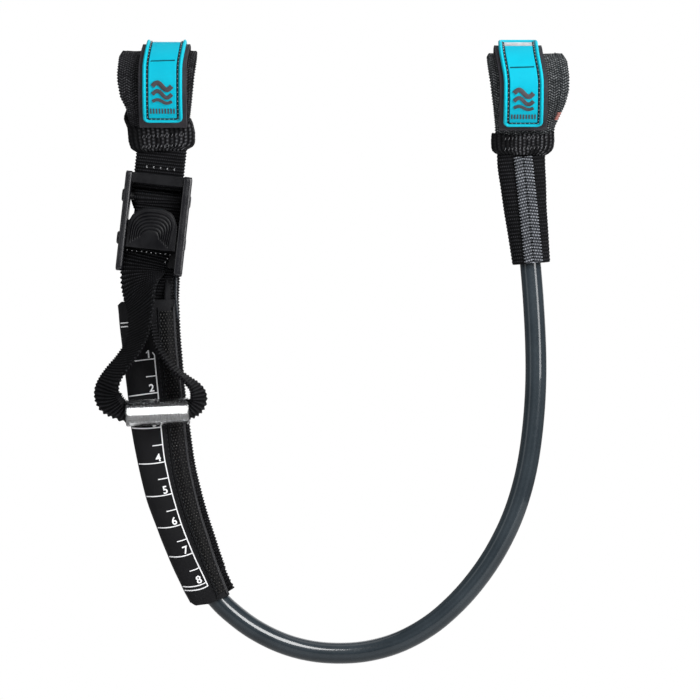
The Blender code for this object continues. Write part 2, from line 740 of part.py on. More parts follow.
def right_wrap():
    """Webbing folded over the hose's fixed end, with a grey strip sewn down its front."""
    x = ATTACHMENT_X
    stations = [
        (x - 1.2, -26.3, 12.7, 3.9), (x - 0.6, -40.0, 12.5, 3.9), (x + 0.2, -52.0, 12.0, 5.2),
        (x + 1.0, -64.0, 11.3, 7.0), (x + 2.0, -76.0, 10.5, 7.7), (x + 3.7, -92.0, 9.5, 7.7),
    ]
    down = Vector((stations[-1][0] - stations[0][0], 0, stations[-1][1] - stations[0][1])).normalized()
    across = Vector((-down.z, 0, down.x))
    depth = Vector((0, 1, 0))
    rings = [ring((cx, 0, cz), across, depth, w, d, 3.4, 20) for cx, cz, w, d in stations]
    wrap = loft("right_wrap", rings, black_webbing())
    stem = KEEPER_TOP - RIGHT_DROP - KEEPER_HEIGHT + 2.0
    half_gap = STEM_T / 2 + GAP
    slot = box("stem_slot", (x - 15, -half_gap, stem - 0.5), (x + 15, half_gap, -20), black_webbing())
    boolean(wrap, slot, "DIFFERENCE")
    end = smooth(HOSE_ROUTE, 2)[-8:]
    reach = end[-1] + tangents(end)[-1] * 0.5
    bore = as_mesh(pipe("hose_bore", [*end, reach], HOSE_R + GAP, 4, black_webbing()))
    boolean(wrap, bore, "DIFFERENCE")
    front = [Vector((cx, -d - GAP - 0.6, cz)) for cx, cz, _, d in stations[1:]]
    front[0].z += 2.0
    strap("right_strip", front, [across] * len(front), 9.0, 1.2, grey_webbing())


def build():
    """Makes the whole harness line."""
    reset_scene()
    boom_attachment("left", -ATTACHMENT_X, 0.0)
    boom_attachment("right", ATTACHMENT_X, RIGHT_DROP)
    axes = buckle_frame_axes()
    buckle_frame(axes)
    headed_pin("turn_bar", TURN_BAR, BAR_R, axes)
    headed_pin("cam_pin", CAM_PIN, PIN_R, axes)
    cam_lever(axes)
    cam_spring(axes)
    upper_webbing(axes)
    adjust_webbing()
    pull_strap()
    grip_tube()
    sleeve()
    hose()
    right_wrap()


build()
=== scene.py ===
"""Looks of an adjustable windsurf harness line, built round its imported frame. Lengths are in millimetres."""

import json
from math import ceil, cos, hypot, pi, radians, sin, tan, tau

import bmesh
import bpy
from mathutils import Matrix, Quaternion, Vector

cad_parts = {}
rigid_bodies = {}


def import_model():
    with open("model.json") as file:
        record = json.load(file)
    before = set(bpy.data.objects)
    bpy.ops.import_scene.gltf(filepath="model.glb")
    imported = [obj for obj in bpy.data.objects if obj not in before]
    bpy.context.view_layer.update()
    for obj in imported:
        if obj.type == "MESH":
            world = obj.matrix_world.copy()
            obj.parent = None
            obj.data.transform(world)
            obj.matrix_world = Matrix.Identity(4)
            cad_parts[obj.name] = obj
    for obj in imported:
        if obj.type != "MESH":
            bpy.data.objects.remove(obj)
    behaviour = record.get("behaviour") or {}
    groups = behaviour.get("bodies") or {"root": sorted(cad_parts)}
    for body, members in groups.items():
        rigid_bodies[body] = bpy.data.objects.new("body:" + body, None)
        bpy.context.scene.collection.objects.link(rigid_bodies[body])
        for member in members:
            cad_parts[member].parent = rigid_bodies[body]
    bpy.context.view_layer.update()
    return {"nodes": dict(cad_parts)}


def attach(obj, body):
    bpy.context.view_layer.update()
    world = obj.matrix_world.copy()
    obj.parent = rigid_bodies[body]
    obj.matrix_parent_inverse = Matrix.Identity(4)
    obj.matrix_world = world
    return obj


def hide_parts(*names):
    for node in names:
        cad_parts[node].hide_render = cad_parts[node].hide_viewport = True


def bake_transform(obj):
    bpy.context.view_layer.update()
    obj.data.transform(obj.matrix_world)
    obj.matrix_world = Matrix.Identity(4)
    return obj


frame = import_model()
nodes = frame["nodes"]
MM = 0.001
UP = Vector((0, 0, 1))
REAR = Vector((0, 1, 0))
ACROSS = Vector((1, 0, 0))


def placed(name, data):
    """A new object in the scene."""
    made = bpy.data.objects.new(name, data)
    bpy.context.scene.collection.objects.link(made)
    return made


# Camera and cord route ------------------------------------------------------------------------

camera = placed("camera", bpy.data.cameras.new("camera"))
camera.location = (0.0036, -2.4, -0.1373)
camera.rotation_euler = (pi / 2, 0, 0)
camera.data.lens = 236.7
camera.data.clip_end = 20
bpy.context.scene.camera = camera
bpy.context.scene.view_settings.view_transform = "Standard"

HOSE_R = 5.5
HOSE_ROUTE = [
    (-82.9, 4.0, -227.2), (-80.2, 4.0, -237.6), (-76.7, 4.0, -248.0), (-72.1, 4.0, -257.9),
    (-65.9, 4.0, -266.8), (-58.7, 4.0, -274.0), (-47.0, 3.9, -282.8), (-32.8, 3.7, -290.0),
    (-18.2, 3.4, -294.2), (-3.1, 3.0, -295.6), (13.0, 2.5, -294.4), (29.6, 2.0, -289.6),
    (45.2, 1.5, -281.0), (58.2, 1.1, -270.0), (69.2, 0.8, -257.6), (78.8, 0.5, -243.6),
    (87.1, 0.3, -227.3), (92.8, 0.2, -211.1), (96.7, 0.1, -194.0), (99.3, 0.0, -173.7),
    (100.5, 0.0, -152.9), (100.3, 0.0, -132.1), (99.2, 0.0, -111.3), (97.6, 0.0, -91.5),
    (96.1, 0.0, -75.2),
]
SLEEVE_ROUTE = [
    (-100.9, 4.0, -111.4), (-99.8, 4.0, -132.1), (-97.8, 4.0, -152.9), (-94.9, 4.0, -176.0),
    (-91.4, 4.0, -194.5), (-87.4, 4.0, -211.1), (-82.3, 4.0, -227.8), (-76.2, 4.0, -244.4),
    (-69.6, 4.0, -260.2), (-66.1, 4.0, -268.0),
]


# Lines in space ---------------------------------------------------------------------------------

def smooth(points, steps):
    """A Catmull-Rom curve through the points."""
    knots = [Vector(p) for p in points]
    knots = [2 * knots[0] - knots[1], *knots, 2 * knots[-1] - knots[-2]]
    curve = []
    for i in range(1, len(knots) - 2):
        before, start, end, after = knots[i - 1 : i + 3]
        for step in range(steps):
            t = step / steps
            pull = (2 * before - 5 * start + 4 * end - after) * t**2
            twist = (3 * start - before - 3 * end + after) * t**3
            curve.append(0.5 * (2 * start + (end - before) * t + pull + twist))
    curve.append(knots[-2])
    return curve


def tangents(points):
    last = len(points) - 1
    return [(points[min(i + 1, last)] - points[max(i - 1, 0)]).normalized() for i in range(last + 1)]


def lengths(points):
    total = [0.0]
    for a, b in zip(points, points[1:]):
        total.append(total[-1] + (b - a).length)
    return total


def blunted(points, rounds):
    """The same line with its corners worn away."""
    points = [Vector(p) for p in points]
    for _ in range(rounds):
        inner = [(a + 2 * b + c) / 4 for a, b, c in zip(points, points[1:], points[2:])]
        points = [points[0], *inner, points[-1]]
    return points


def evenly(points, step, *others):
    """The line cut at an even step; each other list is read off at the same places."""
    points = [Vector(p) for p in points]
    total = lengths(points)
    count = max(2, ceil(total[-1] / step))
    cut, along, values = [], [], [[] for _ in others]
    i = 0
    for k in range(count + 1):
        s = total[-1] * k / count
        while i < len(points) - 2 and total[i + 1] < s:
            i += 1
        t = (s - total[i]) / max(total[i + 1] - total[i], 1e-9)
        cut.append(points[i].lerp(points[i + 1], t))
        along.append(s)
        for value, other in zip(values, others):
            value.append(other[i] * (1 - t) + other[i + 1] * t)
    return cut, along, values


def spread(first, last, count):
    """Evenly spaced values from first to last."""
    return [first + (last - first) * i / count for i in range(count + 1)]


def ease(x, low, high):
    """0 below low, 1 above high, and smooth between."""
    t = min(max((x - low) / (high - low), 0.0), 1.0)
    return t * t * (3 - 2 * t)


def squarish(angle, power):
    """A point on a square of half width 1 with rounded corners, sharper for a higher power."""
    return [abs(v) ** (2 / power) * (1 if v > 0 else -1) for v in (cos(angle), sin(angle))]


def ridge(place, pitch):
    """1 on each rib of a cloth and 0 between."""
    return 0.5 + 0.5 * cos(tau * place / pitch)


def wobble(*phases):
    """A small repeatable unevenness between -1 and 1."""
    return sum(sin(p * (1.0 + 0.7 * i) + 1.3 * i) for i, p in enumerate(phases)) / len(phases)


# Finishes ---------------------------------------------------------------------------------------

class Finish:
    """A procedural material: its Principled shader, with short names for the nodes that feed it."""

    def __init__(self, name, roughness=0.5, **sockets):
        self.material = bpy.data.materials.new(name)
        self.material.use_nodes = True
        self.tree = self.material.node_tree
        self.shader = self.tree.nodes["Principled BSDF"]
        self.set("Roughness", roughness)
        for socket, value in sockets.items():
            self.set(socket.replace("_", " "), value)

    def set(self, socket, value):
        self.feed(self.shader.inputs[socket], value)

    def feed(self, socket, value):
        if isinstance(value, bpy.types.NodeSocket):
            self.tree.links.new(value, socket)
        elif isinstance(value, tuple) and socket.type == "RGBA":
            socket.default_value = (*value, 1.0)
        else:
            socket.default_value = value

    def node(self, kind, **inputs):
        made = self.tree.nodes.new("ShaderNode" + kind)
        for socket, value in inputs.items():
            self.feed(made.inputs[socket.replace("_", " ")], value)
        return made

    def math(self, operation, *values):
        made = self.tree.nodes.new("ShaderNodeMath")
        made.operation = operation
        for socket, value in zip(made.inputs, values):
            self.feed(socket, value)
        return made.outputs[0]

    def times(self, *values):
        return self.math("MULTIPLY", *values)

    def plus(self, *values):
        return self.math("ADD", *values)

    def mix(self, factor, first, second):
        made = self.tree.nodes.new("ShaderNodeMix")
        made.data_type = "RGBA"
        for index, value in ((0, factor), (6, first), (7, second)):
            self.feed(made.inputs[index], value)
        return made.outputs[2]

    def tint(self, factor, first, second):
        """The colour of the surface."""
        self.set("Base Color", self.mix(factor, first, second))

    def span(self, value, low, high, start=0.0, end=1.0):
        made = self.tree.nodes.new("ShaderNodeMapRange")
        for index, number in enumerate((value, low, high, start, end)):
            self.feed(made.inputs[index], number)
        return made.outputs[0]

    def vary(self, noise, start=0.0, end=1.0):
        """A noise, which mostly lies between 0.3 and 0.7, spread over a wider span."""
        return self.span(noise, 0.3, 0.7, start, end)

    def weave(self):
        """Places on the cloth: across it and along it, in millimetres."""
        made = self.node("UVMap")
        made.uv_map = "weave"
        split = self.node("SeparateXYZ", Vector=made.outputs[0])
        return split.outputs[0], split.outputs[1]

    def zone(self):
        """The painted light and shade that the mesh gives at each of its points."""
        made = self.node("Attribute")
        made.attribute_name = "zone"
        return made.outputs["Fac"]

    def noise(self, per_mm, detail=3.0):
        place = self.node("TexCoord").outputs["Object"]
        return self.node("TexNoise", Vector=place, Scale=per_mm / MM, Detail=detail).outputs[0]

    def wave(self, value, pitch):
        """1 at each whole pitch and 0 between."""
        turn = self.math("COSINE", self.times(value, tau / pitch))
        return self.math("MULTIPLY_ADD", turn, 0.5, 0.5)

    def tufts(self, pitch):
        """1 at each tuft, in rows set half a tuft over from the next."""
        u, v = self.weave()
        row = self.times(self.math("ROUND", self.math("DIVIDE", v, pitch)), pitch / 2)
        return self.times(self.wave(self.plus(u, row), pitch), self.wave(v, pitch))

    def bump(self, height, depth):
        made = self.node("Bump", Height=height, Distance=depth * MM, Strength=1.0)
        self.set("Normal", made.outputs[0])
        return self


def woven(name, dark, light, pitch, yarn=1.0, edge=12.0, dull=0.55, with_painted_shade=False):
    """Ribbed webbing: each rib is a row of yarns, set half a yarn over from the next. The rib tops are painted light
    as a highlight and the grooves dark as shade.
    """
    f = Finish(name, Specular_IOR_Level=0.09)
    u, v = f.weave()
    row = f.math("ROUND", f.math("DIVIDE", v, pitch))
    shift = f.plus(f.times(u, tau / yarn), f.times(row, pi))
    yarns = f.math("MULTIPLY_ADD", f.math("COSINE", shift), 0.5, 0.5)
    border = f.math("GREATER_THAN", f.math("ABSOLUTE", u), edge)
    yarns = f.math("MAXIMUM", yarns, border)
    # The light colour on each rib top is a painted highlight and the dark between ribs is painted shade; random dull
    # patches vary both.
    top = f.times(f.wave(v, pitch), f.math("MULTIPLY_ADD", yarns, 0.75, 0.25))
    fuzz = f.noise(6.0, 2.0)
    wear_and_painted_sheen = f.times(f.math("POWER", top, 1.6), f.span(f.noise(0.25, 4.0), 0.35, 0.65, dull, 1.0))
    # A piece may also darken parts of its webbing as painted shade, by the shade value at its points.
    if with_painted_shade:
        wear_and_painted_sheen = f.times(wear_and_painted_sheen, f.zone())
    f.tint(wear_and_painted_sheen, dark, light)
    f.set("Roughness", f.vary(fuzz, 0.54, 0.72))
    return f.bump(f.plus(top, f.times(fuzz, 0.25)), 0.28).material


def herringbone(name, dark, light, pitch, column):
    """The boom band's fine zigzag weave, flecked where its yarns catch the light."""
    f = Finish(name, 0.7, Specular_IOR_Level=0.12)
    u, v = f.weave()
    zigzag = f.math("DIVIDE", f.math("PINGPONG", u, column / 2), column / 2)
    line = f.wave(f.math("MULTIPLY_ADD", zigzag, pitch, v), pitch)
    yarns = f.wave(u, 1.2)
    lit = f.times(f.math("POWER", line, 2.2), f.math("MULTIPLY_ADD", yarns, 0.75, 0.25))
    lit = f.times(lit, f.span(f.noise(0.8, 4.0), 0.35, 0.65, 0.12, 1.0))
    lit = f.times(lit, f.span(f.noise(0.1, 2.0), 0.35, 0.65, 0.6, 1.0))
    f.tint(lit, dark, light)
    return f.bump(f.plus(line, f.times(yarns, 0.6)), 0.3).material


def brushed_cloth(name, colour, pale, roughness=0.75):
    """Smooth strap fabric: a fine plain weave under a short nap."""
    f = Finish(name, Specular_IOR_Level=0.14)
    u, v = f.weave()
    fine = f.times(f.wave(u, 0.55), f.wave(v, 0.55))
    nap = f.noise(2.2, 4.0)
    tone = f.plus(f.times(fine, 0.35), f.vary(nap, 0.0, 0.4))
    f.tint(f.plus(tone, f.vary(f.noise(0.12), 0.0, 0.25)), colour, pale)
    f.set("Roughness", f.vary(nap, roughness - 0.1, roughness + 0.1))
    return f.bump(f.plus(fine, nap), 0.12).material


def hook_cloth(name, dark, pale, pitch):
    """Hook or loop tape: close rows of small tufts."""
    f = Finish(name, 0.8, Specular_IOR_Level=0.12)
    tuft = f.tufts(pitch)
    fuzz = f.noise(3.0, 5.0)
    f.tint(f.times(tuft, f.span(fuzz, 0.25, 0.75, 0.3, 1.0)), dark, pale)
    return f.bump(f.plus(tuft, fuzz), 0.35).material


def mesh_cloth(name, dark, pale, pitch):
    """Spacer mesh: knots of yarn in slanting rows over a dark ground."""
    f = Finish(name, 0.6, Specular_IOR_Level=0.14)
    knot = f.tufts(pitch)
    fleck = f.span(f.noise(0.9, 4.0), 0.35, 0.65, 0.1, 1.0)
    f.tint(f.times(f.span(knot, 0.3, 0.8), fleck), dark, pale)
    return f.bump(knot, 0.4).material


def moulded(name, colour, roughness, scuff=0.0, grain=0.05, **sockets):
    """Moulded plastic or painted metal with a fine grain, dull patches and a few scuffs."""
    f = Finish(name, **sockets)
    patch = f.noise(0.15, 4.0)
    f.set("Roughness", f.vary(patch, roughness * 0.8, roughness * 1.25))
    lighter = tuple(min(1.0, c * 1.7 + 0.01) for c in colour)
    base = f.mix(f.span(patch, 0.35, 0.75, 0.0, 0.5), colour, lighter)
    if scuff:
        base = f.mix(f.span(f.noise(0.9, 8.0), 0.66, 0.72, 0.0, scuff), base, (0.32, 0.32, 0.32))
    f.set("Base Color", base)
    return f.bump(f.noise(4.0, 2.0), grain).material


def badge_finish():
    """Coloured rubber: painted pale on the rim as a highlight, and painted dark as shade down in the sewn groove and
    the slot.
    """
    f = Finish("badge_rubber", Specular_IOR_Level=0.12)
    zone, fine = f.zone(), f.noise(3.0, 2.0)
    panel = f.mix(f.vary(f.noise(0.08)), (0.0, 0.41, 0.56), (0.0, 0.46, 0.61))
    # The rim's paler colour is a painted highlight; the near-black groove colour below is painted shade.
    raised = f.mix(f.span(zone, 0.55, 0.95), panel, (0.004, 0.48, 0.61))
    f.tint(f.span(zone, 0.1, 0.45), (0.0, 0.035, 0.05), raised)
    f.set("Roughness", f.vary(fine, 0.44, 0.6))
    return f.bump(fine, 0.03).material


def hose_finish():
    """Smooth slate-grey hose with a thin clear skin and faint drawing lines."""
    f = Finish("hose_plastic", Coat_Weight=0.4, Coat_Roughness=0.04, Specular_IOR_Level=0.12)
    smear = f.noise(0.05, 4.0)
    drawn = f.wave(f.weave()[0], 2.6)
    tone = f.plus(f.vary(smear, 0.0, 0.7), f.times(drawn, 0.3))
    f.tint(tone, (0.008, 0.0115, 0.0145), (0.018, 0.0235, 0.028))
    f.set("Roughness", f.vary(f.noise(1.0, 4.0), 0.16, 0.3))
    return f.bump(f.math("MULTIPLY_ADD", drawn, 0.2, smear), 0.05).material


def thread_finish(name, colour, pale):
    f = Finish(name, Specular_IOR_Level=0.3)
    twist = f.noise(5.0, 2.0)
    f.tint(f.span(twist, 0.35, 0.65), colour, pale)
    return f.bump(twist, 0.08).material


def clear_finish():
    f = Finish(
        "clear_plastic", IOR=1.5, Transmission_Weight=1.0, Specular_IOR_Level=0.8, Coat_Weight=1.0,
        Coat_IOR=1.8, Coat_Roughness=0.2,
    )
    haze = f.noise(0.2, 4.0)
    f.tint(f.vary(haze), (0.90, 0.93, 0.95), (0.97, 0.98, 0.97))
    f.set("Roughness", f.vary(haze, 0.02, 0.09))
    return f.bump(haze, 0.04).material


def print_finish():
    f = Finish("white_print", 0.55)
    wear_and_painted_sheen = f.noise(1.2, 5.0)
    f.tint(f.span(wear_and_painted_sheen, 0.25, 0.45), (0.72, 0.73, 0.74), (0.95, 0.95, 0.96))
    return f.bump(wear_and_painted_sheen, 0.03).material


def silver_finish():
    """Reflective tape: close rows of tiny beads."""
    f = Finish("silver_tape", 0.28, Metallic=0.8)
    u, v = f.weave()
    f.tint(f.vary(f.noise(0.3)), (0.55, 0.56, 0.6), (0.86, 0.87, 0.9))
    return f.bump(f.times(f.wave(u, 0.5), f.wave(v, 0.5)), 0.06).material


# From one rib, tuft or zigzag of a cloth to the next.
PITCH = 1.66
GREY_PITCH = 1.6
KEEPER_PITCH = 2.3
MESH_PITCH = 1.55
ZIGZAG = 4.8
BLACK_WEB = woven("black_webbing", (0.0014, 0.0014, 0.0018), (0.032, 0.032, 0.036), PITCH)
GREY_WEB = woven("grey_webbing", (0.03, 0.032, 0.037), (0.44, 0.46, 0.50), GREY_PITCH, 1.3, edge=1.9)
# The keeper's webbing is darkened on one side as painted shade, by the value at its points.
KEEPER_WEB = woven(
    "keeper_webbing", (0.0015, 0.0015, 0.002), (0.10, 0.10, 0.108), KEEPER_PITCH, 1.9, edge=6.0, dull=0.08, with_painted_shade=True
)
BAND_WEBS = {
    "left": herringbone("dark_band_weave", (0.004, 0.004, 0.005), (0.125, 0.125, 0.135), 1.35, ZIGZAG),
    "right": herringbone("pale_band_weave", (0.016, 0.018, 0.02), (0.40, 0.42, 0.43), 1.35, ZIGZAG),
}
STRAP_CLOTH = brushed_cloth("strap_fabric", (0.019, 0.0175, 0.020), (0.078, 0.072, 0.081))
HOOK_TAPE = hook_cloth("hook_tape", (0.008, 0.008, 0.009), (0.08, 0.08, 0.085), 1.1)
LOOP_TAPE = hook_cloth("loop_tape", (0.012, 0.012, 0.013), (0.07, 0.07, 0.075), 0.7)
MESH_CLOTH = mesh_cloth("mesh_cloth", (0.002, 0.002, 0.0025), (0.055, 0.053, 0.05), MESH_PITCH)
SLEEVE_CLOTH = brushed_cloth("sleeve_fabric", (0.004, 0.004, 0.005), (0.012, 0.012, 0.0135), 0.6)
BADGE = badge_finish()
EMBLEM = moulded("emblem_rubber", (0.055, 0.05, 0.058), 0.55, Specular_IOR_Level=0.2)
PLASTIC = moulded("black_plastic", (0.0025, 0.0025, 0.0035), 0.36, scuff=0.03, Specular_IOR_Level=0.2)
RAIL_PLASTIC = moulded("rail_plastic", (0.007, 0.007, 0.009), 0.25, scuff=0.05, grain=0.015, Specular_IOR_Level=0.5)
WORN = moulded("worn_metal", (0.16, 0.16, 0.16), 0.5, scuff=1.0, grain=0.3, Metallic=0.4)
PIN_PAINT = moulded("blackened_steel", (0.012, 0.012, 0.013), 0.4, scuff=0.3, Metallic=0.3)
STEEL = moulded("steel", (0.5, 0.5, 0.49), 0.3, Metallic=1.0)
HOSE = hose_finish()
CLEAR = clear_finish()
PRINT = print_finish()
SILVER = silver_finish()
DARK_THREAD = thread_finish("dark_thread", (0.004, 0.005, 0.006), (0.03, 0.035, 0.04))
GREY_THREAD = thread_finish("grey_thread", (0.06, 0.06, 0.065), (0.22, 0.22, 0.23))
RED_THREAD = thread_finish("red_thread", (0.30, 0.07, 0.055), (0.62, 0.30, 0.26))
PALE_THREAD = thread_finish("pale_thread", (0.25, 0.25, 0.26), (0.62, 0.62, 0.63))
GLOSS_BINDING = moulded("binding", (0.009, 0.009, 0.011), 0.4, scuff=0.1, Specular_IOR_Level=0.25)
# The binding tape's pale colour stands in for a thin highlight along it: a painted highlight.
PAINTED_HIGHLIGHT_BINDING = moulded("painted_highlight_binding", (0.03, 0.034, 0.04), 0.3, scuff=0.2, Coat_Weight=0.25)


# Meshes -----------------------------------------------------------------------------------------

# The body that a piece rides on, with its material's slot.
ON_BAND = ("attachments", "strap_fabric")
ON_STRAP = ("attachments", "black_webbing")
ON_STRIP = ("attachments", "grey_webbing")
ON_SLEEVE = ("attachments", "sleeve_fabric")


def finished(name, mesh, finish, body, slot, sharp=50):
    """Faces turned outwards, smooth shading, one material, and the CAD body it rides on."""
    shape = bmesh.new()
    shape.from_mesh(mesh)
    bmesh.ops.recalc_face_normals(shape, faces=shape.faces)
    shape.to_mesh(mesh)
    shape.free()
    mesh.materials.clear()
    mesh.materials.append(finish)
    mesh.shade_smooth()
    mesh.set_sharp_from_angle(angle=radians(sharp))
    made = placed(name, mesh)
    if body:
        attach(made, body)
    return made


def surface(name, rows, finish, body, slot, ring=False, ends=False, painted_light_zones=None, sharp=50):
    """A mesh over rows of (point, place on the cloth) pairs; the places become its UV map."""
    width = len(rows[0])
    faces = []
    for i in range(len(rows) - 1):
        for j in range(width if ring else width - 1):
            k = (j + 1) % width
            faces.append((i * width + j, i * width + k, (i + 1) * width + k, (i + 1) * width + j))
    if ends:
        faces += [tuple(i * width + j for j in range(width)) for i in (0, len(rows) - 1)]
    cells = [cell for row in rows for cell in row]
    mesh = bpy.data.meshes.new(name)
    mesh.from_pydata([point * MM for point, _ in cells], [], faces)
    layer = mesh.uv_layers.new(name="weave")
    layer.data.foreach_set("uv", [c for face in faces for corner in face for c in cells[corner][1]])
    if painted_light_zones:
        zone = mesh.attributes.new("zone", "FLOAT", "POINT")
        zone.data.foreach_set("value", [z for row in painted_light_zones for z in row])
    return finished(name, mesh, finish, body, slot, sharp)


def across(columns, face):
    """Shares across a strap, from -1 to 1 on its front face (1) and back again on its rear one (-1)."""
    return [(-1 + 2 * j / columns) * face for j in range(columns + 1)]


def webbing(name, line, sides, width, thick, finish, body, slot, **how):
    """Flat webbing with real ribs and a serrated selvedge, closed all round."""
    pitch, relief = how.get("pitch", PITCH), how.get("relief", 0.2)
    step, columns = how.get("step", 0.3), how.get("columns", 12)
    many = len(line)
    widths = width if isinstance(width, list) else [width] * many
    thicks = thick if isinstance(thick, list) else [thick] * many
    shears = how.get("shears", [0.0] * many)
    line, along, (sides, widths, thicks, shears) = evenly(line, step, sides, widths, thicks, shears)
    rows = []
    for centre, forward, side, wide, deep, s, shear in zip(
        line, tangents(line), sides, widths, thicks, along, shears
    ):
        side = (side - forward * side.dot(forward)).normalized()
        normal = forward.cross(side)
        row = []
        for face in (1, -1):
            for t in across(columns, face):
                u = t * (wide - deep) / 2
                v = s + shear * u
                height = deep / 2 - relief / 2 + relief * ridge(v, pitch) ** 0.8
                row.append((centre + side * u + normal * height * face, (u, v)))
            u = face * wide / 2
            v = s + shear * u
            row.append((centre + side * (u + face * (ridge(v, pitch) - 0.6) * relief * 1.6), (u, v)))
        rows.append(row)
    return surface(name, rows, finish, body, slot, ring=True, ends=True, sharp=65)


def threads(name, pairs, radius, finish, body, slot):
    """Separate stitches: each (start, end, lift) is a short thread humped along its lift."""
    verts, faces = [], []
    sides, stations = 6, 5
    for start, end, lift in pairs:
        forward = (end - start).normalized()
        side = forward.cross(lift).normalized()
        up = side.cross(forward)
        first = len(verts)
        for k in range(stations):
            t = k / (stations - 1)
            fat = radius * (0.35 + 0.65 * sin(pi * (0.12 + 0.76 * t)))
            centre = start.lerp(end, t) + up * radius * 0.9 * sin(pi * t)
            for a in range(sides):
                angle = tau * a / sides
                verts.append((centre + side * fat * cos(angle) + up * fat * sin(angle)) * MM)
        for k in range(stations - 1):
            for a in range(sides):
                b = (a + 1) % sides
                low = first + k * sides
                faces.append((low + a, low + b, low + sides + b, low + sides + a))
        faces.append(tuple(first + a for a in range(sides)))
        faces.append(tuple(first + (stations - 1) * sides + a for a in range(sides)))
    mesh = bpy.data.meshes.new(name)
    mesh.from_pydata(verts, [], faces)
    return finished(name, mesh, finish, body, slot, 180)


def ribbon(name, points, half, place_at, low, high, finish, body, slot):
    """A raised stroke along (u, s) points, laid on a curved face by place_at(u, s, height)."""
    flat = [Vector((u, s, 0)) for u, s in points]
    section = ((-1, low), (-1, high - 0.12), (-0.82, high), (0.82, high), (1, high - 0.12), (1, low))
    rows = []
    for centre, forward in zip(flat, tangents(flat)):
        side = Vector((-forward.y, forward.x, 0))
        spots = [(centre + side * share * half, height) for share, height in section]
        rows.append([(place_at(p.x, p.y, height), (0.0, centre.y)) for p, height in spots])
    return surface(name, rows, finish, body, slot, ring=True, ends=True, sharp=35)


# Boom attachments -------------------------------------------------------------------------------

# Angles round the boom are in degrees, 0 at the front and 90 at the top. FRONT is where the front layers leave the
# round and run down, and the slits, windows and emblems are places on the badges.
FRONT = -50.0
BAND_R = {"left": 17.6, "right": 16.3}
FLAP_R = {"left": 21.3, "right": 20.7}
BADGE_R = {"left": 23.2, "right": 23.0}
DROPS = {"left": 0.0, "right": 2.0}
BADGE_HALF = 10.25
BADGE_CORNER = 3.2
BAND_COLUMNS = 32
ARC_ENDS = {"left": 118.0, "right": 89.0}
SLITS = {"left": 31.2, "right": 22.0}
WINDOWS = {"left": 72.0, "right": 59.5}
EMBLEMS = {"left": -10.0, "right": -18.8}


def on_loop(radius, angle):
    return Vector((0, -radius * cos(radians(angle)), radius * sin(radians(angle))))


def loop_arc(radius, first, last, step=2.0):
    return [on_loop(radius, angle) for angle in spread(first, last, ceil(abs(last - first) / step))]


def front_tail(radius, z, clear):
    """The layer below its round part, from its lower end up: in front, then back out to the round."""
    corner = on_loop(radius, FRONT)
    slope = tan(radians(-FRONT))
    bend = corner.z + (clear + corner.y) / slope
    low = [Vector((0, -clear, z + (bend - z) * i / 6)) for i in range(6)] if bend > z else []
    start = Vector((0, -clear, bend)) if bend > z else Vector((0, corner.y + (corner.z - z) * slope, z))
    return [*low, *[start.lerp(corner, i / 5) for i in range(5)]]


def side_x(side, z):
    """The middle of the closing layers at a height: neither badge was closed quite straight."""
    if side == "left":
        return -93.4 + 1.7 * ease(z, 8.0, 25.0)
    return 93.4 - 2.4 * ease(z, 0.0, 21.0)


# The edges of the bands and keepers, left and then right: (height, x) from the top down.
BAND_EDGES = {
    "left": (
        [(21, -114.0), (17.5, -114.6), (14.5, -116.0), (5.8, -116.7), (1.5, -116.5), (-6.2, -115.1),
         (-11.4, -112.4), (-20, -110.6), (-34, -108.6)],
        [(21, -76.2), (18.4, -76.4), (13, -77.2), (5.8, -78.5), (-2.8, -79.4), (-11.4, -80.2),
         (-20, -80.9), (-34, -81.0)],
    ),
    "right": (
        [(21, 76.6), (17, 76.6), (15.4, 75.4), (10.9, 76.1), (2.9, 77.5), (-9.9, 79.0), (-19.2, 79.6),
         (-34, 80.0)],
        [(21, 112.6), (16.4, 113.9), (12.2, 116.0), (3.8, 116.9), (-3.1, 116.7), (-9.2, 115.1),
         (-14.7, 112.7), (-20.7, 110.0), (-34, 108.2)],
    ),
}


KEEPER_EDGES = {
    "left": (
        [(-10.8, -112.3), (-13.5, -113.7), (-16.6, -114.2), (-19.5, -113.0), (-21.7, -112.1), (-28.6, -111.5),
         (-32.1, -110.4), (-33.4, -109.0), (-34.1, -107.4)],
        [(-15.7, -80.0), (-18.7, -78.7), (-23.5, -77.6), (-28.6, -77.6), (-30.4, -78.2), (-31.7, -79.6),
         (-32.4, -81.8), (-33.6, -83.0)],
    ),
    "right": (
        [(-24.2, 77.8), (-28.2, 77.5), (-31.9, 77.7), (-33.4, 78.3), (-34.5, 79.6), (-35.2, 81.2)],
        [(-20.6, 109.4), (-24.0, 109.7), (-28.2, 109.9), (-31.6, 109.5), (-33.4, 108.6), (-34.8, 107.0),
         (-35.6, 105.4)],
    ),
}
KEEPER_X = {"left": -94.8, "right": 93.7}
# Where the painted shade over each keeper's left side ends, as a share across it from -1 on the left to 1 on the
# right.
KEEPER_PAINTED_SHADE = {"left": -0.6, "right": -0.37}
KEEPER_ENDS = {"left": ((-34.0, -32.9), -21.6), "right": ((-35.2, -35.6), -25.4)}


def read_off(table, z):
    """The x of an edge at a height."""
    for (z1, x1), (z2, x2) in zip(table, table[1:]):
        if z >= z2:
            return x1 + (x2 - x1) * min(max((z1 - z) / (z1 - z2), 0.0), 1.0)
    return table[-1][1]


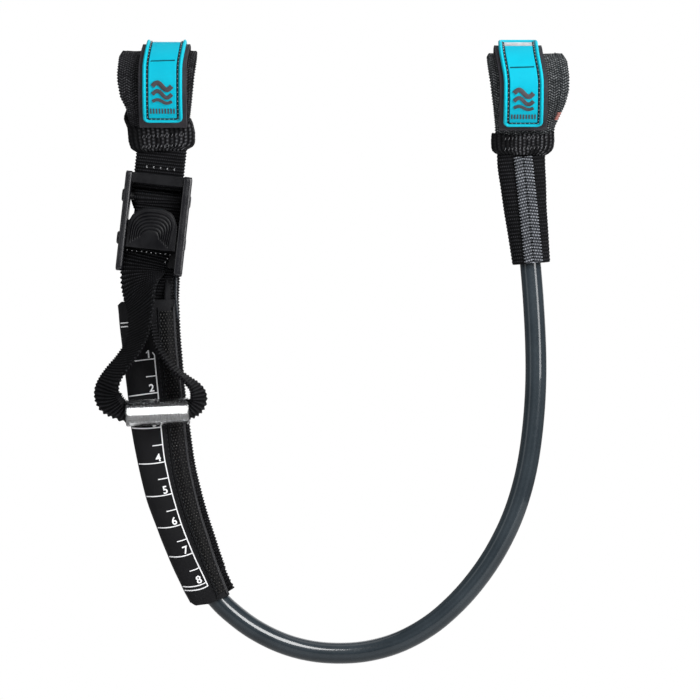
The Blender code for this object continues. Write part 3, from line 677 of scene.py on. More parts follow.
def boom_band(side):
    """The wide woven band round the boom and its stem, both ends of it laid together."""
    left, right = BAND_EDGES[side]
    foot = -31.3 - DROPS[side]
    low = [Vector((0, -1.05, foot)), Vector((0, -1.05, -23.5)), Vector((0, -2.4, -21.6))]
    high = [Vector((0, -p.y, p.z)) for p in reversed(low)]
    line = blunted([*low, *loop_arc(BAND_R[side], FRONT, 180 - FRONT, 3.0), *high], 2)
    line, along, _ = evenly(line, 0.4)
    ahead = tangents(line)
    rows = []
    for centre, forward, s in zip(line, ahead, along):
        share = ease(-centre.z, 3.0, 18.0)
        a, b = read_off(left, centre.z), read_off(right, centre.z)
        middle, half = (a + b) / 2, (b - a) / 2
        normal = forward.cross(ACROSS)
        row = []
        for face in (1, -1):
            for t in across(BAND_COLUMNS, face):
                u = t * half
                flare = 0.8 * max(0.0, abs(t) - 0.7) / 0.3 * (1 - share)
                curl = wobble(s * 0.11 + 3 * t, t * 4 + s * 0.05) * 0.25 * (1 - share)
                rib = ridge(s / 1.5 + abs((u / (ZIGZAG / 2)) % 2 - 1), 1)
                deep = (1.0 if abs(t) < 0.9 else 0.8) - 0.1 * ease(share, 0.8, 0.9) - 0.16 * (1 - rib)
                point = Vector((middle + u, centre.y, centre.z)) + normal * (deep * face + curl - flare * 0.5)
                row.append((point, (u, s)))
            u = face * (half + 0.3 + 0.28 * cos(tau * s / 1.6))
            row.append((Vector((middle + u, centre.y, centre.z)) - normal * 0.4, (u, s)))
        rows.append(row)
    band = surface(f"band_{side}", rows, BAND_WEBS[side], *ON_BAND, ring=True, ends=True, sharp=70)
    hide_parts(f"boom_band_{side}")

    # The seam shows on the face that looks out, which is the rear face of the row on the right.
    column, out = (BAND_COLUMNS + 5, -1) if side == "right" else (3, 1)
    stitch = 3.0
    seam, tack = [], []
    for i in range(int(along[-1] / stitch)):
        k = min(len(rows) - 7, int(i * stitch / (along[-1] / (len(rows) - 1))))
        a, b = rows[k][column][0], rows[k + 5][column][0]
        normal = ahead[k].cross(ACROSS) * out
        if a.z > -18:
            seam.append((a + normal * 0.1, b + normal * 0.1, normal))
        if side == "right" and a.y < 0 and -18.0 < a.z < -13.5:
            for row in rows[k : k + 6 : 2]:
                tack.append((row[column - 1][0] + normal * 0.15, row[column - 3][0] + normal * 0.1, normal))
    threads(f"band_seam_{side}", seam, 0.26, DARK_THREAD, *ON_BAND)
    if tack:
        threads("band_tack_right", tack, 0.34, RED_THREAD, *ON_BAND)


def cloth_layer(name, line, side, width, thick, finish, body, slot):
    """A smooth strap round the boom, with thin rolled edges."""
    line, along, _ = evenly(blunted(line, 3), 0.6)
    rows = []
    for centre, forward, s in zip(line, tangents(line), along):
        normal = forward.cross(ACROSS)
        x = side_x(side, centre.z)
        row = []
        for face in (1, -1):
            for t in across(14, face):
                u = t * (width / 2 - 0.3)
                deep = thick / 2 - 0.12 + 0.14 * ease(abs(t), 0.90, 0.97)
                wave = wobble(s * 0.3 + 5 * t, s * 0.17 - 3 * t) * 0.06
                row.append((Vector((x + u, centre.y, centre.z)) + normal * (deep * face + wave), (u, s)))
            u = face * width / 2
            row.append((Vector((x + u, centre.y, centre.z)), (u, s)))
        rows.append(row)
    return surface(name, rows, finish, body, slot, ring=True, ends=True)


def badge_height(inset, slit, window):
    """Height of the badge over its middle line, and its painted light, from the distance to its edge: a painted
    highlight on the rim, painted shade in the groove, in the slot and under the window.
    """
    if inset < 1.75:
        crown = sin(pi * min(max(inset / 1.75, 0.0), 1.0))
        return 0.5 + 0.9 * crown**0.6, 1.0
    if window or inset < 2.95:
        depth = ease(inset, 1.7, 1.95)
        return 0.5 - 0.45 * depth, 0.85 - 0.85 * depth
    panel = ease(inset, 2.9, 3.15)
    return 0.05 + 0.8 * panel - 0.45 * slit, 0.5 * panel - 0.44 * slit


def badge(side):
    """The moulded rubber badge on the closing flap, with its sewn groove, slot and silver window."""
    end, half, radius, reach = ARC_ENDS[side], BADGE_HALF, BADGE_CORNER, BADGE_R[side]
    body = f"{side}_flap"
    clear = 7.5 + reach - FLAP_R[side]
    line = [*front_tail(reach, -18.9 - DROPS[side], clear), *loop_arc(reach, FRONT, end)]
    line, along, _ = evenly(blunted(line, 4), 0.22)
    ahead = tangents(line)
    total = along[-1]

    def at(u, s, height):
        k = min(max(s / total * (len(line) - 1), 0.0), len(line) - 1.001)
        i = int(k)
        centre = line[i].lerp(line[i + 1], k - i)
        forward = ahead[i].lerp(ahead[i + 1], k - i).normalized()
        return Vector((side_x(side, centre.z) + u, centre.y, centre.z)) - forward.cross(ACROSS) * height

    def place_of(angle):
        return total - radians(end - angle) * reach

    slit_at, window_at = place_of(SLITS[side]), place_of(WINDOWS[side])
    rows, painted_light_zones = [], []
    for s in along:
        near = min(s, total - s)
        squeeze = 1.0
        if near < radius:
            squeeze = (half - radius + (radius**2 - (radius - near) ** 2) ** 0.5) / half
        row, zone = [], []
        for t in across(94, 1):
            u = t * half * squeeze
            q, p = abs(u) - (half - radius), radius - near
            inset = radius - hypot(max(q, 0), max(p, 0)) - min(max(q, p), 0)
            tilt = slit_at + u * 0.035
            slit = max(0.0, 1 - abs(s - tilt) / 0.5) ** 0.5 if -6.4 < u < 6.2 else 0.0
            # Each point's colour value is its painted light: a highlight on the rim and shade in the groove and the
            # slot.
            height, colour = badge_height(inset, slit, s > window_at and inset > 2.4)
            row.append(at(u, s, height))
            zone.append(colour)
        row += [at(share * half * squeeze, s, -0.9) for share in (1, 0, -1)]
        rows.append([(p, (j * 0.24, s)) for j, p in enumerate(row)])
        painted_light_zones.append(zone + [0.6] * 3)
    piece = surface(
        f"badge_face_{side}", rows, BADGE, body, "badge_rubber", ring=True, ends=True, painted_light_zones=painted_light_zones, sharp=80
    )
    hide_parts(f"badge_{side}")

    film = []
    for s in spread(window_at + 0.4, total - 3.5, 24):
        row = [at(u, s, 0.34) for u in spread(-7.2, 7.2, 12)] + [at(u, s, -0.2) for u in spread(7.2, -7.2, 12)]
        film.append([(p, (j, s)) for j, p in enumerate(row)])
    surface(f"badge_window_{side}", film, SILVER, body, "steel", ring=True, ends=True)

    edge, step = half - 2.32, 2.35
    marks = [(-edge, total - 2.9 - step * i, 0) for i in range(int((total - 5.6) / step))]
    count = round(2 * edge / step)
    marks += [(-edge + 2 * edge * (i + 0.1) / count, 2.32, 1) for i in range(count)]
    marks += [(edge, s, 0) for _, s, sideways in marks if not sideways]
    dark, pale = [], []
    for u, s, sideways in marks:
        lift = at(u, s, 1.0) - at(u, s, 0.0)
        first, second = ((1.65, 0), (2.15, 0)) if sideways else ((0, -1.65), (0, -2.15))
        dark.append((at(u, s, 0.14), at(u + first[0], max(s + first[1], 2.1), 0.14), lift))
        if s + second[1] > 2.1:
            start = at(u + first[0] * 1.06, s + first[1] * 1.06, 0.2)
            pale.append((start, at(u + second[0], s + second[1], 0.2), lift))
    threads(f"badge_stitches_{side}", dark, 0.36, DARK_THREAD, body, "badge_rubber")
    threads(f"badge_knots_{side}", pale, 0.3, PALE_THREAD, body, "badge_rubber")
    emblem(side, at, place_of(EMBLEMS[side]), body)


def emblem(side, at, middle, body):
    """A plain wave sign in grey rubber over a row of small bars."""
    for k, (rise, swing) in enumerate(((3.0, 1.7), (-1.0, 1.7), (-4.6, 0.9))):
        stroke = [(-5.0 + 10.0 * t, middle + rise + swing * sin(tau * t)) for t in spread(0, 1, 40)]
        piece = ribbon(f"wave_{k}_{side}", stroke, 1.15 - 0.2 * k, at, 0.6, 1.5, EMBLEM, body, "emblem_rubber")
        if k == 0:
            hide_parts(f"badge_emblem_{side}")
    for k in range(9):
        bar = [(-6.0 + 1.5 * k, middle - 11.4 + 0.7 * i) for i in range(5)]
        ribbon(f"bar_{k}_{side}", bar, 0.38, at, 0.6, 1.15, EMBLEM, body, "emblem_rubber")


def keeper(side):
    """The sewn webbing loop round the closed strap's end."""
    left, right = KEEPER_EDGES[side]
    x, (foot, head) = KEEPER_X[side], KEEPER_ENDS[side]
    half_x, half_y, radius, y = 16.4, 6.75, 2.6, 1.55
    line = []
    for sx, sy, first in ((-1, -1, 180), (1, -1, 270), (1, 1, 0), (-1, 1, 90)):
        for i in range(7):
            a = radians(first + 15 * i)
            out = Vector((sx * (half_x - radius) + radius * cos(a), sy * (half_y - radius) + radius * sin(a), 0))
            line.append(Vector((x, y, 0)) + out)
    line.append(line[0])
    line, along, _ = evenly(line, 0.22)
    ahead = tangents(line)
    ahead[0] = ahead[-1] = (line[1] - line[-2]).normalized()
    pitch = along[-1] / round(along[-1] / KEEPER_PITCH)
    dark = KEEPER_PAINTED_SHADE[side]
    rows, painted_light_zones = [], []
    for centre, forward, s in zip(line, ahead, along):
        outward = forward.cross(UP)
        rib = ridge(s, pitch)
        off = (centre.x - x) / half_x
        rear = ease(centre.y - y, -4.0, half_y)
        raised = left[0][0] if off < 0 else right[0][0]
        top = head + (raised - head) * ease(abs(off), 0.7, 1.0) * (0.35 + 0.65 * rear) + 0.2 * sin(s * 0.4)
        bottom = foot[0] + (foot[1] - foot[0]) * (off + 1) / 2
        v = s * KEEPER_PITCH / pitch
        row = []
        for face in (1, -1):
            for t in across(18, face):
                z = bottom + (top - bottom) * (1 + t) / 2
                a, b = read_off(left, z), read_off(right, z)
                yarn = 0.1 * cos(tau * z / 1.9 + pi * round(s / pitch))
                p = Vector(((a + b) / 2 + off * (b - a) / 2, centre.y, z))
                p += outward * (face * (0.7 + 0.3 * rib + yarn * rib) - 0.7 * abs(off))
                row.append((p, (t * 6.2, v)))
            row.append((p + UP * face * (0.35 + 0.2 * rib) - outward * face * 0.7, (face * 6.5, v)))
        rows.append(row)
        # The loop is painted darker as shade on its left side, up to the share given for that side.
        painted_light_zones.append([0.12 + 0.88 * ease(off, dark - 0.14, dark + 0.14)] * len(row))
    piece = surface(f"keeper_loop_{side}", rows, KEEPER_WEB, *ON_STRAP, ring=True, painted_light_zones=painted_light_zones, sharp=65)
    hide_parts(f"keeper_{side}")
    pairs = []
    for row in range(2):
        for k in range(12):
            u = x - 9.6 + 1.9 * k
            a = Vector((u, y - half_y - 1.02, foot[0] + 2.0 + 5.4 * row + (u - x) * 0.05))
            pairs.append((a, a + Vector((0.6, 0, 1.5)), -REAR))
    threads(f"keeper_stitches_{side}", pairs, 0.16, GREY_THREAD, *ON_STRAP)


def attachment(side):
    boom_band(side)
    body, radius = f"{side}_flap", FLAP_R[side]
    for inside, owner, node, finish in (
        (2.15, "attachments", "loop_patch", LOOP_TAPE), (1.3, body, "hook_patch", HOOK_TAPE)
    ):
        line = loop_arc(radius - inside, -38, 60)
        piece = cloth_layer(f"{node}_face_{side}", line, side, 23.0, 0.75, finish, owner, "hook_tape")
        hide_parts(f"{node}_{side}")
    mouth = -20.3 - DROPS[side]
    rear = [Vector((0, 5.1, mouth - 12.0 + 1.8 * i)) for i in range(7)]
    rear += [Vector((0, 6.2, mouth + 0.6)), *loop_arc(radius, 180 - FRONT, FRONT)]
    rear += reversed(front_tail(radius, -21.2 - DROPS[side], 7.5))
    strap = cloth_layer(f"closing_strap_{side}", rear, side, 25.0, 1.8, STRAP_CLOTH, None, "strap_fabric")
    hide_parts(f"closure_strap_{side}", f"flap_strap_{side}")
    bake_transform(strap)
    badge(side)
    keeper(side)


attachment("left")
attachment("right")


# Cam buckle -------------------------------------------------------------------------------------

BUCKLE = Matrix.Translation((-98.8, -2.0, -71.6)) @ Matrix.Rotation(radians(6.3), 4, "Y")
BUCKLE_ACROSS = BUCKLE.to_3x3() @ ACROSS


def on_buckle(u, w, v):
    return BUCKLE @ Vector((u, w, v))


def around(w, v, radius, first, last):
    """Webbing round a bar, by angles from its front over its top."""
    angles = [radians(angle) for angle in spread(first, last, 24)]
    return [(w - radius * cos(a), v + radius * sin(a)) for a in angles]


def upper_strap():
    """The sewn strap from the boom band down round the buckle's anchor bar."""
    line = [(-1.1, 47.0 - 2.5 * i) for i in range(10)]
    line += [*around(2.0, 22.0, 3.1, 0.0, -180.0), *[(5.1, 24.5 + 2.5 * i) for i in range(10)]]
    points = [on_buckle(0, w, v) for w, v in line]
    sides = [BUCKLE_ACROSS] * len(points)
    piece = webbing("upper_strap", points, sides, 25.8, 1.5, BLACK_WEB, *ON_STRAP, relief=0.32)
    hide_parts("upper_webbing")
    pairs = []
    for k in range(5):
        a = on_buckle(-7.0 + 3.6 * k, -2.0, 29.2)
        pairs += [(a, a + BUCKLE_ACROSS * 0.7 + UP * rise, -REAR) for rise in (0.5, -0.5)]
    threads("upper_stitches", pairs, 0.2, PALE_THREAD, *ON_STRAP)


def lever_pad():
    """The thumb pad's face: arched ridges that run out on a smooth ramp at its foot."""
    half, top, foot, face = 12.2, 8.2, -13.35, -8.2
    rise = half * 0.74
    rows = []
    for k in spread(0, 1, 110):
        row = []
        for t in spread(0, 1, 96):
            if t < 0.25:
                x, z = -half, foot + (top - rise - foot) * t / 0.25
            elif t > 0.75:
                x, z = half, foot + (top - rise - foot) * (1 - t) / 0.25
            else:
                a = pi * (1 - (t - 0.25) / 0.5)
                x = half * (abs(cos(a)) ** 0.85 if cos(a) > 0 else -abs(cos(a)) ** 0.85)
                z = top - rise + rise * sin(a) ** 0.9
            narrow = 1 - 0.03 * (top - z) / (top - foot)
            z = foot + (z - foot) * (0.1 + 0.9 * k)
            x = x * k * narrow + 0.09 * (z - foot) - 1.4
            groove = (1 - abs(((k * 11.0) % 1.0) - 0.5) * 2) ** 1.6
            groove *= ease(z, foot + 9.0 * (0.95 - k), foot + 9.0 * (0.95 - k) + 2.5)
            height = 0.45 - 0.6 * groove * ease(k, 0.34, 0.38) * (1 - ease(k, 0.86, 0.88))
            height += 0.7 * (1 - (x / half) ** 2) * ease(z, foot, foot + 9) - 0.75 * ease(k, 0.94, 1.0) ** 2
            row.append((on_buckle(x, face - height, z), (x, z)))
        rows.append(row)
    rim = [place for _, place in rows[-1]]
    for share in (1, 0.96):
        rows.append([(on_buckle(x * share, face + 0.9, z), (x, z)) for x, z in rim])
    surface("lever_face", rows, PLASTIC, "lever", "black_plastic", sharp=40)


def rail_caps():
    """The rolled front edges of the buckle's rails, and the worn ends of its bars."""
    end = 25.9
    for name, middle, wide in (("left", -15.1, 1.72), ("right", 15.7, 2.3)):
        rows = []
        for v in spread(-end, end, 60):
            close = (1 - (1 - min((end - abs(v)) / 1.4, 1.0)) ** 2) ** 0.5
            half, high = wide * (0.55 + 0.45 * close), 1.15 * (0.2 + 0.8 * close)
            row = [on_buckle(middle - half * cos(a), -7.7 - high * sin(a) ** 0.8, v) for a in spread(0, pi, 16)]
            row += [on_buckle(middle + wide - 0.3, -7.3, v), on_buckle(middle - wide + 0.3, -7.3, v)]
            rows.append([(p, (j, v)) for j, p in enumerate(row)])
        surface(f"rail_{name}", rows, RAIL_PLASTIC, "attachments", "black_plastic", ring=True, ends=True)
    for k, (v, long) in enumerate(((14.0, 2.5), (-9.0, 2.1))):
        rows = []
        for i in range(13):
            t = -1 + i / 6
            wide = 0.62 * (1 - t * t) ** 0.5 + 0.05 + 0.08 * sin(9 * t + k)
            row = []
            for j in range(9):
                a = tau * j / 9
                x = 16.7 + wide * cos(a) + 0.12 * sin(7 * t)
                depth = 8.4 - 0.6 * (x - 15.7) ** 2 / 3.4 + 0.14 * sin(a)
                row.append((on_buckle(x, -depth, v + long * t), (j, i)))
            rows.append(row)
        surface(f"worn_{k}", rows, WORN, "attachments", "steel", ring=True, ends=True)


def carried(node, finish):
    """Gives a CAD node that stays its own finish."""
    mesh = nodes[node].data
    mesh.materials.clear()
    mesh.materials.append(finish)
    mesh.shade_smooth()
    mesh.set_sharp_from_angle(angle=radians(32))


upper_strap()
lever_pad()
rail_caps()
for node in ("buckle_frame", "cam_lever"):
    carried(node, PLASTIC)
for node in ("turn_bar", "cam_pin"):
    carried(node, PIN_PAINT)
for node in ("cam_spring", "hose_ferrule"):
    carried(node, STEEL)


# Ruler sleeve -----------------------------------------------------------------------------------

SLEEVE = smooth(SLEEVE_ROUTE, 12)
SLEEVE_S = lengths(SLEEVE)
SLEEVE_AHEAD = tangents(SLEEVE)
SLEEVE_LONG = SLEEVE_S[-1]
HALF_DEPTH = 7.0
SLEEVE_POWER = 3.2
CUTS = 300


def sleeve_at(s):
    """Centre, direction across and direction along the sleeve at a distance from its top."""
    k = 0
    while k < len(SLEEVE) - 2 and SLEEVE_S[k + 1] < s:
        k += 1
    t = (s - SLEEVE_S[k]) / (SLEEVE_S[k + 1] - SLEEVE_S[k])
    forward = SLEEVE_AHEAD[k].lerp(SLEEVE_AHEAD[k + 1], min(max(t, 0.0), 1.0)).normalized()
    return SLEEVE[k].lerp(SLEEVE[k + 1], t), Vector((-forward.z, 0, forward.x)), forward


SLEEVE_CUTS = [sleeve_at(s) for s in spread(0, SLEEVE_LONG, CUTS)]


def cut_at(s):
    """The same, read off the ready cuts."""
    k = min(max(s / SLEEVE_LONG * CUTS, 0.0), CUTS - 0.001)
    i = int(k)
    return [a.lerp(b, k - i) for a, b in zip(SLEEVE_CUTS[i], SLEEVE_CUTS[i + 1])]


# Distances from the centre line at distances down the sleeve: its two edges, the strap's edge and the scale's line.
LEFT_HALF = [
    (0, 16.9), (8, 16.6), (24, 15.8), (47, 15.5), (65, 15.9), (101, 15.9), (118, 14.9), (133, 14.4), (149, 13.7),
    (170, 12.6),
]
RIGHT_HALF = [(0, 12.9), (50, 12.7), (65, 12.3), (92, 10.4), (125, 9.2), (150, 7.9), (170, 7.2)]
STRAP_EDGE = [(0, 14.9), (30, 14.8), (50, 14.4), (65, 14.4), (92, 13.0), (125, 12.2), (150, 11.0), (170, 10.8)]
SCALE_LINE = [
    (27, 0.9), (47, 0.7), (65, -0.1), (84, -1.5), (101, -1.8), (118, -1.9), (133, -1.5), (149, -0.8), (160, -0.5),
]


def read_smooth(table, s):
    """A value along the sleeve, easing from each entry of the table to the next."""
    for (s1, a), (s2, b) in zip(table, table[1:]):
        if s <= s2:
            return a + (b - a) * (0.5 * ease(s, s1, s2) + 0.5 * min(max((s - s1) / (s2 - s1), 0.0), 1.0))
    return table[-1][1]


def sleeve_half(s, right=False):
    return read_smooth(RIGHT_HALF if right else LEFT_HALF, s)


def on_sleeve(u, s, height):
    """A point on the sleeve's front face, u across it and s down it."""
    centre, side, forward = cut_at(s)
    centre = centre + forward * (max(s - SLEEVE_LONG, 0.0) + min(s, 0.0))
    wide = sleeve_half(s, u > 0)
    share = min(abs(u) / wide, 1.0)
    depth = HALF_DEPTH * (1 - share**SLEEVE_POWER) ** (1 / SLEEVE_POWER)
    return centre + side * u - REAR * (depth + height)


def sleeve():
    """The scale's sleeve: a soft flat tube with a rolled hem at each end."""
    outer, inner = [], []
    for s in [*range(ceil(SLEEVE_LONG)), SLEEVE_LONG]:
        hem = 0.35 * (ease(s, 0.0, 0.6) - ease(s, 2.2, 2.8) + ease(s, SLEEVE_LONG - 5, SLEEVE_LONG - 4.2))
        row, back = [], []
        for j in range(72):
            x, y = squarish(tau * j / 72, SLEEVE_POWER)
            slack = wobble(s * 0.09 + 2 * x, s * 0.05 - 3 * x) * 0.22 * abs(y)
            wide = sleeve_half(s, x > 0)
            u = x * wide
            trim = 2.4 * ease(-u, 2.0, wide) * ease(s, SLEEVE_LONG - 22, SLEEVE_LONG)
            trim += 2.2 * ease(-u, wide - 2.5, wide) * ease(s, SLEEVE_LONG - 10, SLEEVE_LONG)
            corner = 1.6 * ease(-u, wide - 2.4, wide) * (1 - ease(s, 0, 5))
            centre, side, _ = cut_at(s - trim + corner)
            place = (u if y < 0 else u + 40, s)
            row.append((centre + side * u + REAR * y * (HALF_DEPTH + slack + hem * 0.35), place))
            back.append((centre + side * x * (wide - 0.9) + REAR * y * (HALF_DEPTH - 0.9 + slack), place))
        outer.append(row)
        inner.append(back)
    rows = [*outer, *inner[::-1], outer[0]]
    piece = surface("scale_sleeve", rows, SLEEVE_CLOTH, *ON_SLEEVE, ring=True)
    weld(piece)
    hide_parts("ruler_sleeve")


def weld(piece):
    shape = bmesh.new()
    shape.from_mesh(piece.data)
    bmesh.ops.remove_doubles(shape, verts=shape.verts, dist=0.002 * MM)
    bmesh.ops.recalc_face_normals(shape, faces=shape.faces)
    shape.to_mesh(piece.data)
    shape.free()


def line_u(s):
    """Where the long printed line runs."""
    return read_smooth(SCALE_LINE, s)


MARKS = [30.6, 48.3, 66.3, 84.4, 101.3, 117.9, 133.8, 150.6]


def printed(name, points, half):
    """A printed line: a low, flat stroke on the sleeve along (u, s) points."""
    return ribbon(name, points, half, on_sleeve, -0.2, 0.42, PRINT, *ON_SLEEVE)


def digit(number, u, s):
    """A printed number, laid on the sleeve."""
    text = bpy.data.curves.new(f"digit_{number}", "FONT")
    text.body = str(number)
    text.size = 5.5
    text.align_x = text.align_y = "CENTER"
    text.extrude = 0.12
    text.offset = 0.11
    made = placed(f"digit_source_{number}", text)
    bpy.context.view_layer.update()
    graph = bpy.context.evaluated_depsgraph_get()
    mesh = bpy.data.meshes.new_from_object(made.evaluated_get(graph))
    bpy.data.objects.remove(made)
    for vert in mesh.vertices:
        x, y, z = vert.co
        vert.co = on_sleeve(u + x, s - y, 0.45 + z) * MM
    finished(f"digit_{number}", mesh, PRINT, *ON_SLEEVE, 30)


def scale_print():
    """The white length scale down the sleeve."""
    first, last = 27.7, MARKS[-1] + 2.1
    points = [(line_u(s), s) for s in spread(first, last, 120)]
    points[0] = (points[0][0] - 0.9, points[0][1] - 0.6)
    printed("scale_line", points, 0.3)

    def tick(name, s, reach, half=0.28, inset=0.0):
        """A mark from the long line to the left, bowed and leaning as the sleeve turns."""
        bow = -0.3 + 1.6 * ease(s, 45, 68) + 0.9 * ease(s, 60, 150) + 2.4 * ease(s, 90, 150)
        lean = 0.12 * ease(s, 90, 150)
        stop = line_u(s) - inset
        marks = [(stop - d, s + lean * d - bow * (d / 13.0) ** 2) for d in spread(0, reach, 18)]
        printed(name, marks[::-1], half)

    def to_edge(s, inset=0.6):
        return sleeve_half(s) + line_u(s) - inset

    for number, s in enumerate(MARKS, 1):
        tick(f"mark_{number}", s, to_edge(s))
        digit(number, line_u(s) - 3.0, s - 2.55)
    flag_u, flag_s = line_u(MARKS[0]) - 3.0, MARKS[0] - 4.4
    printed("digit_1_flag", [(flag_u - 1.25, flag_s + 1.0), (flag_u - 0.6, flag_s + 0.55), (flag_u, flag_s)], 0.28)
    for number, (above, below) in enumerate(zip(MARKS, MARKS[1:]), 1):
        tick(f"half_mark_{number}", (above + below) / 2, 5.4, 0.26)
    tick("mark_end", last, to_edge(last))
    for k, s in enumerate((11.0, 12.9)):
        tick(f"mark_top_{k}", s, to_edge(s, 5.7), inset=5.0)


def panel_u(s, share):
    """Across the mesh panel, from its inner seam (-1) to its outer one (1)."""
    outer = sleeve_half(s, True) - 0.9
    inner = outer - 7.2 + 2.4 * ease(s, 90, 160)
    return (inner + outer) / 2 + share * (outer - inner) / 2


def on_panel(u, s, height):
    """The panel lies a little proud of the sleeve and turns over its right side."""
    wide = sleeve_half(s, True)
    drop = 2.6 * ease(u, wide - 4.5, wide + 0.4)
    centre, side, _ = cut_at(s)
    return centre + side * u - REAR * (HALF_DEPTH + 0.1 - drop + height)


def mesh_strip():
    """The mesh panel beside the scale, with its seam cords and stitches."""
    rows = []
    for s in spread(6.0, SLEEVE_LONG - 3.0, 520):
        row = []
        for face in (1, -1):
            for t in across(32, face):
                u = panel_u(s, t)
                shift = round(s / MESH_PITCH) * MESH_PITCH / 2
                knot = max(0.0, cos(tau * (u + shift) / MESH_PITCH)) * max(0.0, cos(tau * s / MESH_PITCH))
                height = 0.7 + 0.45 * (1 - t * t) + 0.22 * knot
                row.append((on_panel(u, s, height if face > 0 else -0.9), (u, s)))
        rows.append(row)
    panel = surface("mesh_face", rows, MESH_CLOTH, "attachments", "hook_tape", ring=True, ends=True, sharp=80)
    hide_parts("mesh_panel")
    for name, share, radius, finish in (
        ("seam_inner", -1.1, 0.4, SLEEVE_CLOTH), ("seam_outer", 1.12, 0.62, GLOSS_BINDING)
    ):
        rows = []
        for s in spread(4.0, SLEEVE_LONG - 1.0, 160):
            thick = radius * (1 + 0.12 * wobble(s * 0.9, s * 0.37))
            turns = [(a, tau * a / 12) for a in range(12)]
            u = panel_u(s, share)
            rows.append([
                (on_panel(u + thick * cos(turn), s, 0.5 + thick * sin(turn)), (a * 0.4, s)) for a, turn in turns
            ])
        surface(name, rows, finish, *ON_SLEEVE, ring=True, ends=True)
    pairs = []
    s = 8.0
    while s < SLEEVE_LONG - 4:
        for share, lift in ((-1.45, 0.0), (-0.86, 0.9)):
            u = panel_u(s, share)
            pairs.append((on_panel(u, s, lift), on_panel(u, s + 1.5, lift), -REAR))
        s += 2.4
    threads("panel_stitches", pairs, 0.15, DARK_THREAD, *ON_SLEEVE)


def carrier_strap():
    """The webbing behind the buckle's floor and down the sleeve's back."""
    back = (20.5, 15.0, 12.0, 10.5, 9.0, 6.0, -4.0, -16.0, -26.0)
    lefts = [-14.3 if v > 13 else -11.0 for v in back]
    rights = [14.3 if v > -10 else 15.2 if v > -20 else 16.4 for v in back]
    line = [on_buckle((a + b) / 2, 8.6, v) for a, b, v in zip(lefts, rights, back)]
    sides, widths = [BUCKLE_ACROSS] * len(back), [b - a for a, b in zip(lefts, rights)]
    for s in spread(0, SLEEVE_LONG - 0.6, 59):
        centre, side, _ = cut_at(s)
        edge = read_smooth(STRAP_EDGE, s)
        widths.append(min(25.0, edge + sleeve_half(s) - 1.8 - 6.0 * ease(s, SLEEVE_LONG - 16, SLEEVE_LONG)))
        line.append(centre + side * (edge - widths[-1] / 2) + REAR * 8.4)
        sides.append(side)
    piece = webbing("carrier_strap", line, sides, widths, 1.7, BLACK_WEB, *ON_STRAP, relief=0.4)
    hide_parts("carrier_webbing")


# The pale tape's line runs where a thin highlight shows beside the strap.
TAPE = [(-87.6, 3.6, -94.0), (-87.4, 3.2, -101.0), (-87.4, 2.6, -108.0), (-87.0, 2.0, -115.0), (-86.3, 2.4, -121.0)]
FOLD = [(-90.6, 4.4, -93.0), (-91.2, 3.6, -101.0), (-91.6, 1.6, -108.0), (-91.4, 0.4, -114.0), (-91.0, -0.6, -119.0)]


def bindings():
    """The tape and the fold that close the sleeve's top beside the strap; the tape's pale colour is a painted
    highlight.
    """
    for name, points, lean, width, thick, finish in (
        ("binding_tape", TAPE, -0.5, 1.5, 0.8, PAINTED_HIGHLIGHT_BINDING), ("binding_fold", FOLD, 0.5, 3.4, 1.0, SLEEVE_CLOTH)
    ):
        line = smooth(points, 12)
        sides = [Vector((1, lean, 0)).normalized()] * len(line)
        webbing(name, line, sides, width, thick, finish, *ON_SLEEVE, relief=0.05, step=0.8)


sleeve()
scale_print()
mesh_strip()
carrier_strap()
bindings()


# Adjusting strap, pull strap and handle ---------------------------------------------------------

def adjusting_strap():
    """From the hose up inside the sleeve, behind the buckle's floor and over its turn bar to the cam."""
    turn = around(2.2, 13.4, 3.1, -8.0, 172.0)
    front, rear = [(1.9, -6.5), (0.9, 3.0), (0.2, 7.0), (-0.4, 10.4)], [(5.7, v) for v in (10.6, 4.0, -10.0, -27.0)]
    points, widths = [], []
    for part, u, width in ((front, 1.3, 24.0), (turn, 1.1, 25.8), (rear, 1.3, 24.0)):
        points += [on_buckle(u, w, v) for w, v in part]
        widths += [width] * len(part)
    sides = [BUCKLE_ACROSS] * len(points)
    for s in spread(0, SLEEVE_LONG * 0.6, 19):
        centre, side, _ = cut_at(s)
        points.append(centre)
        sides.append(side)
    start = Vector(HOSE_ROUTE[0])
    ahead = (Vector(HOSE_ROUTE[1]) - start).normalized()
    points.append(start - ahead * 11.2)
    sides.append(Vector((-ahead.z, 0, ahead.x)))
    widths += [24.0] * (len(points) - len(widths))
    piece = webbing("adjusting_strap", points, sides, widths, 1.6, BLACK_WEB, None, "black_webbing")
    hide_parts("adjust_webbing")
    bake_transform(piece)


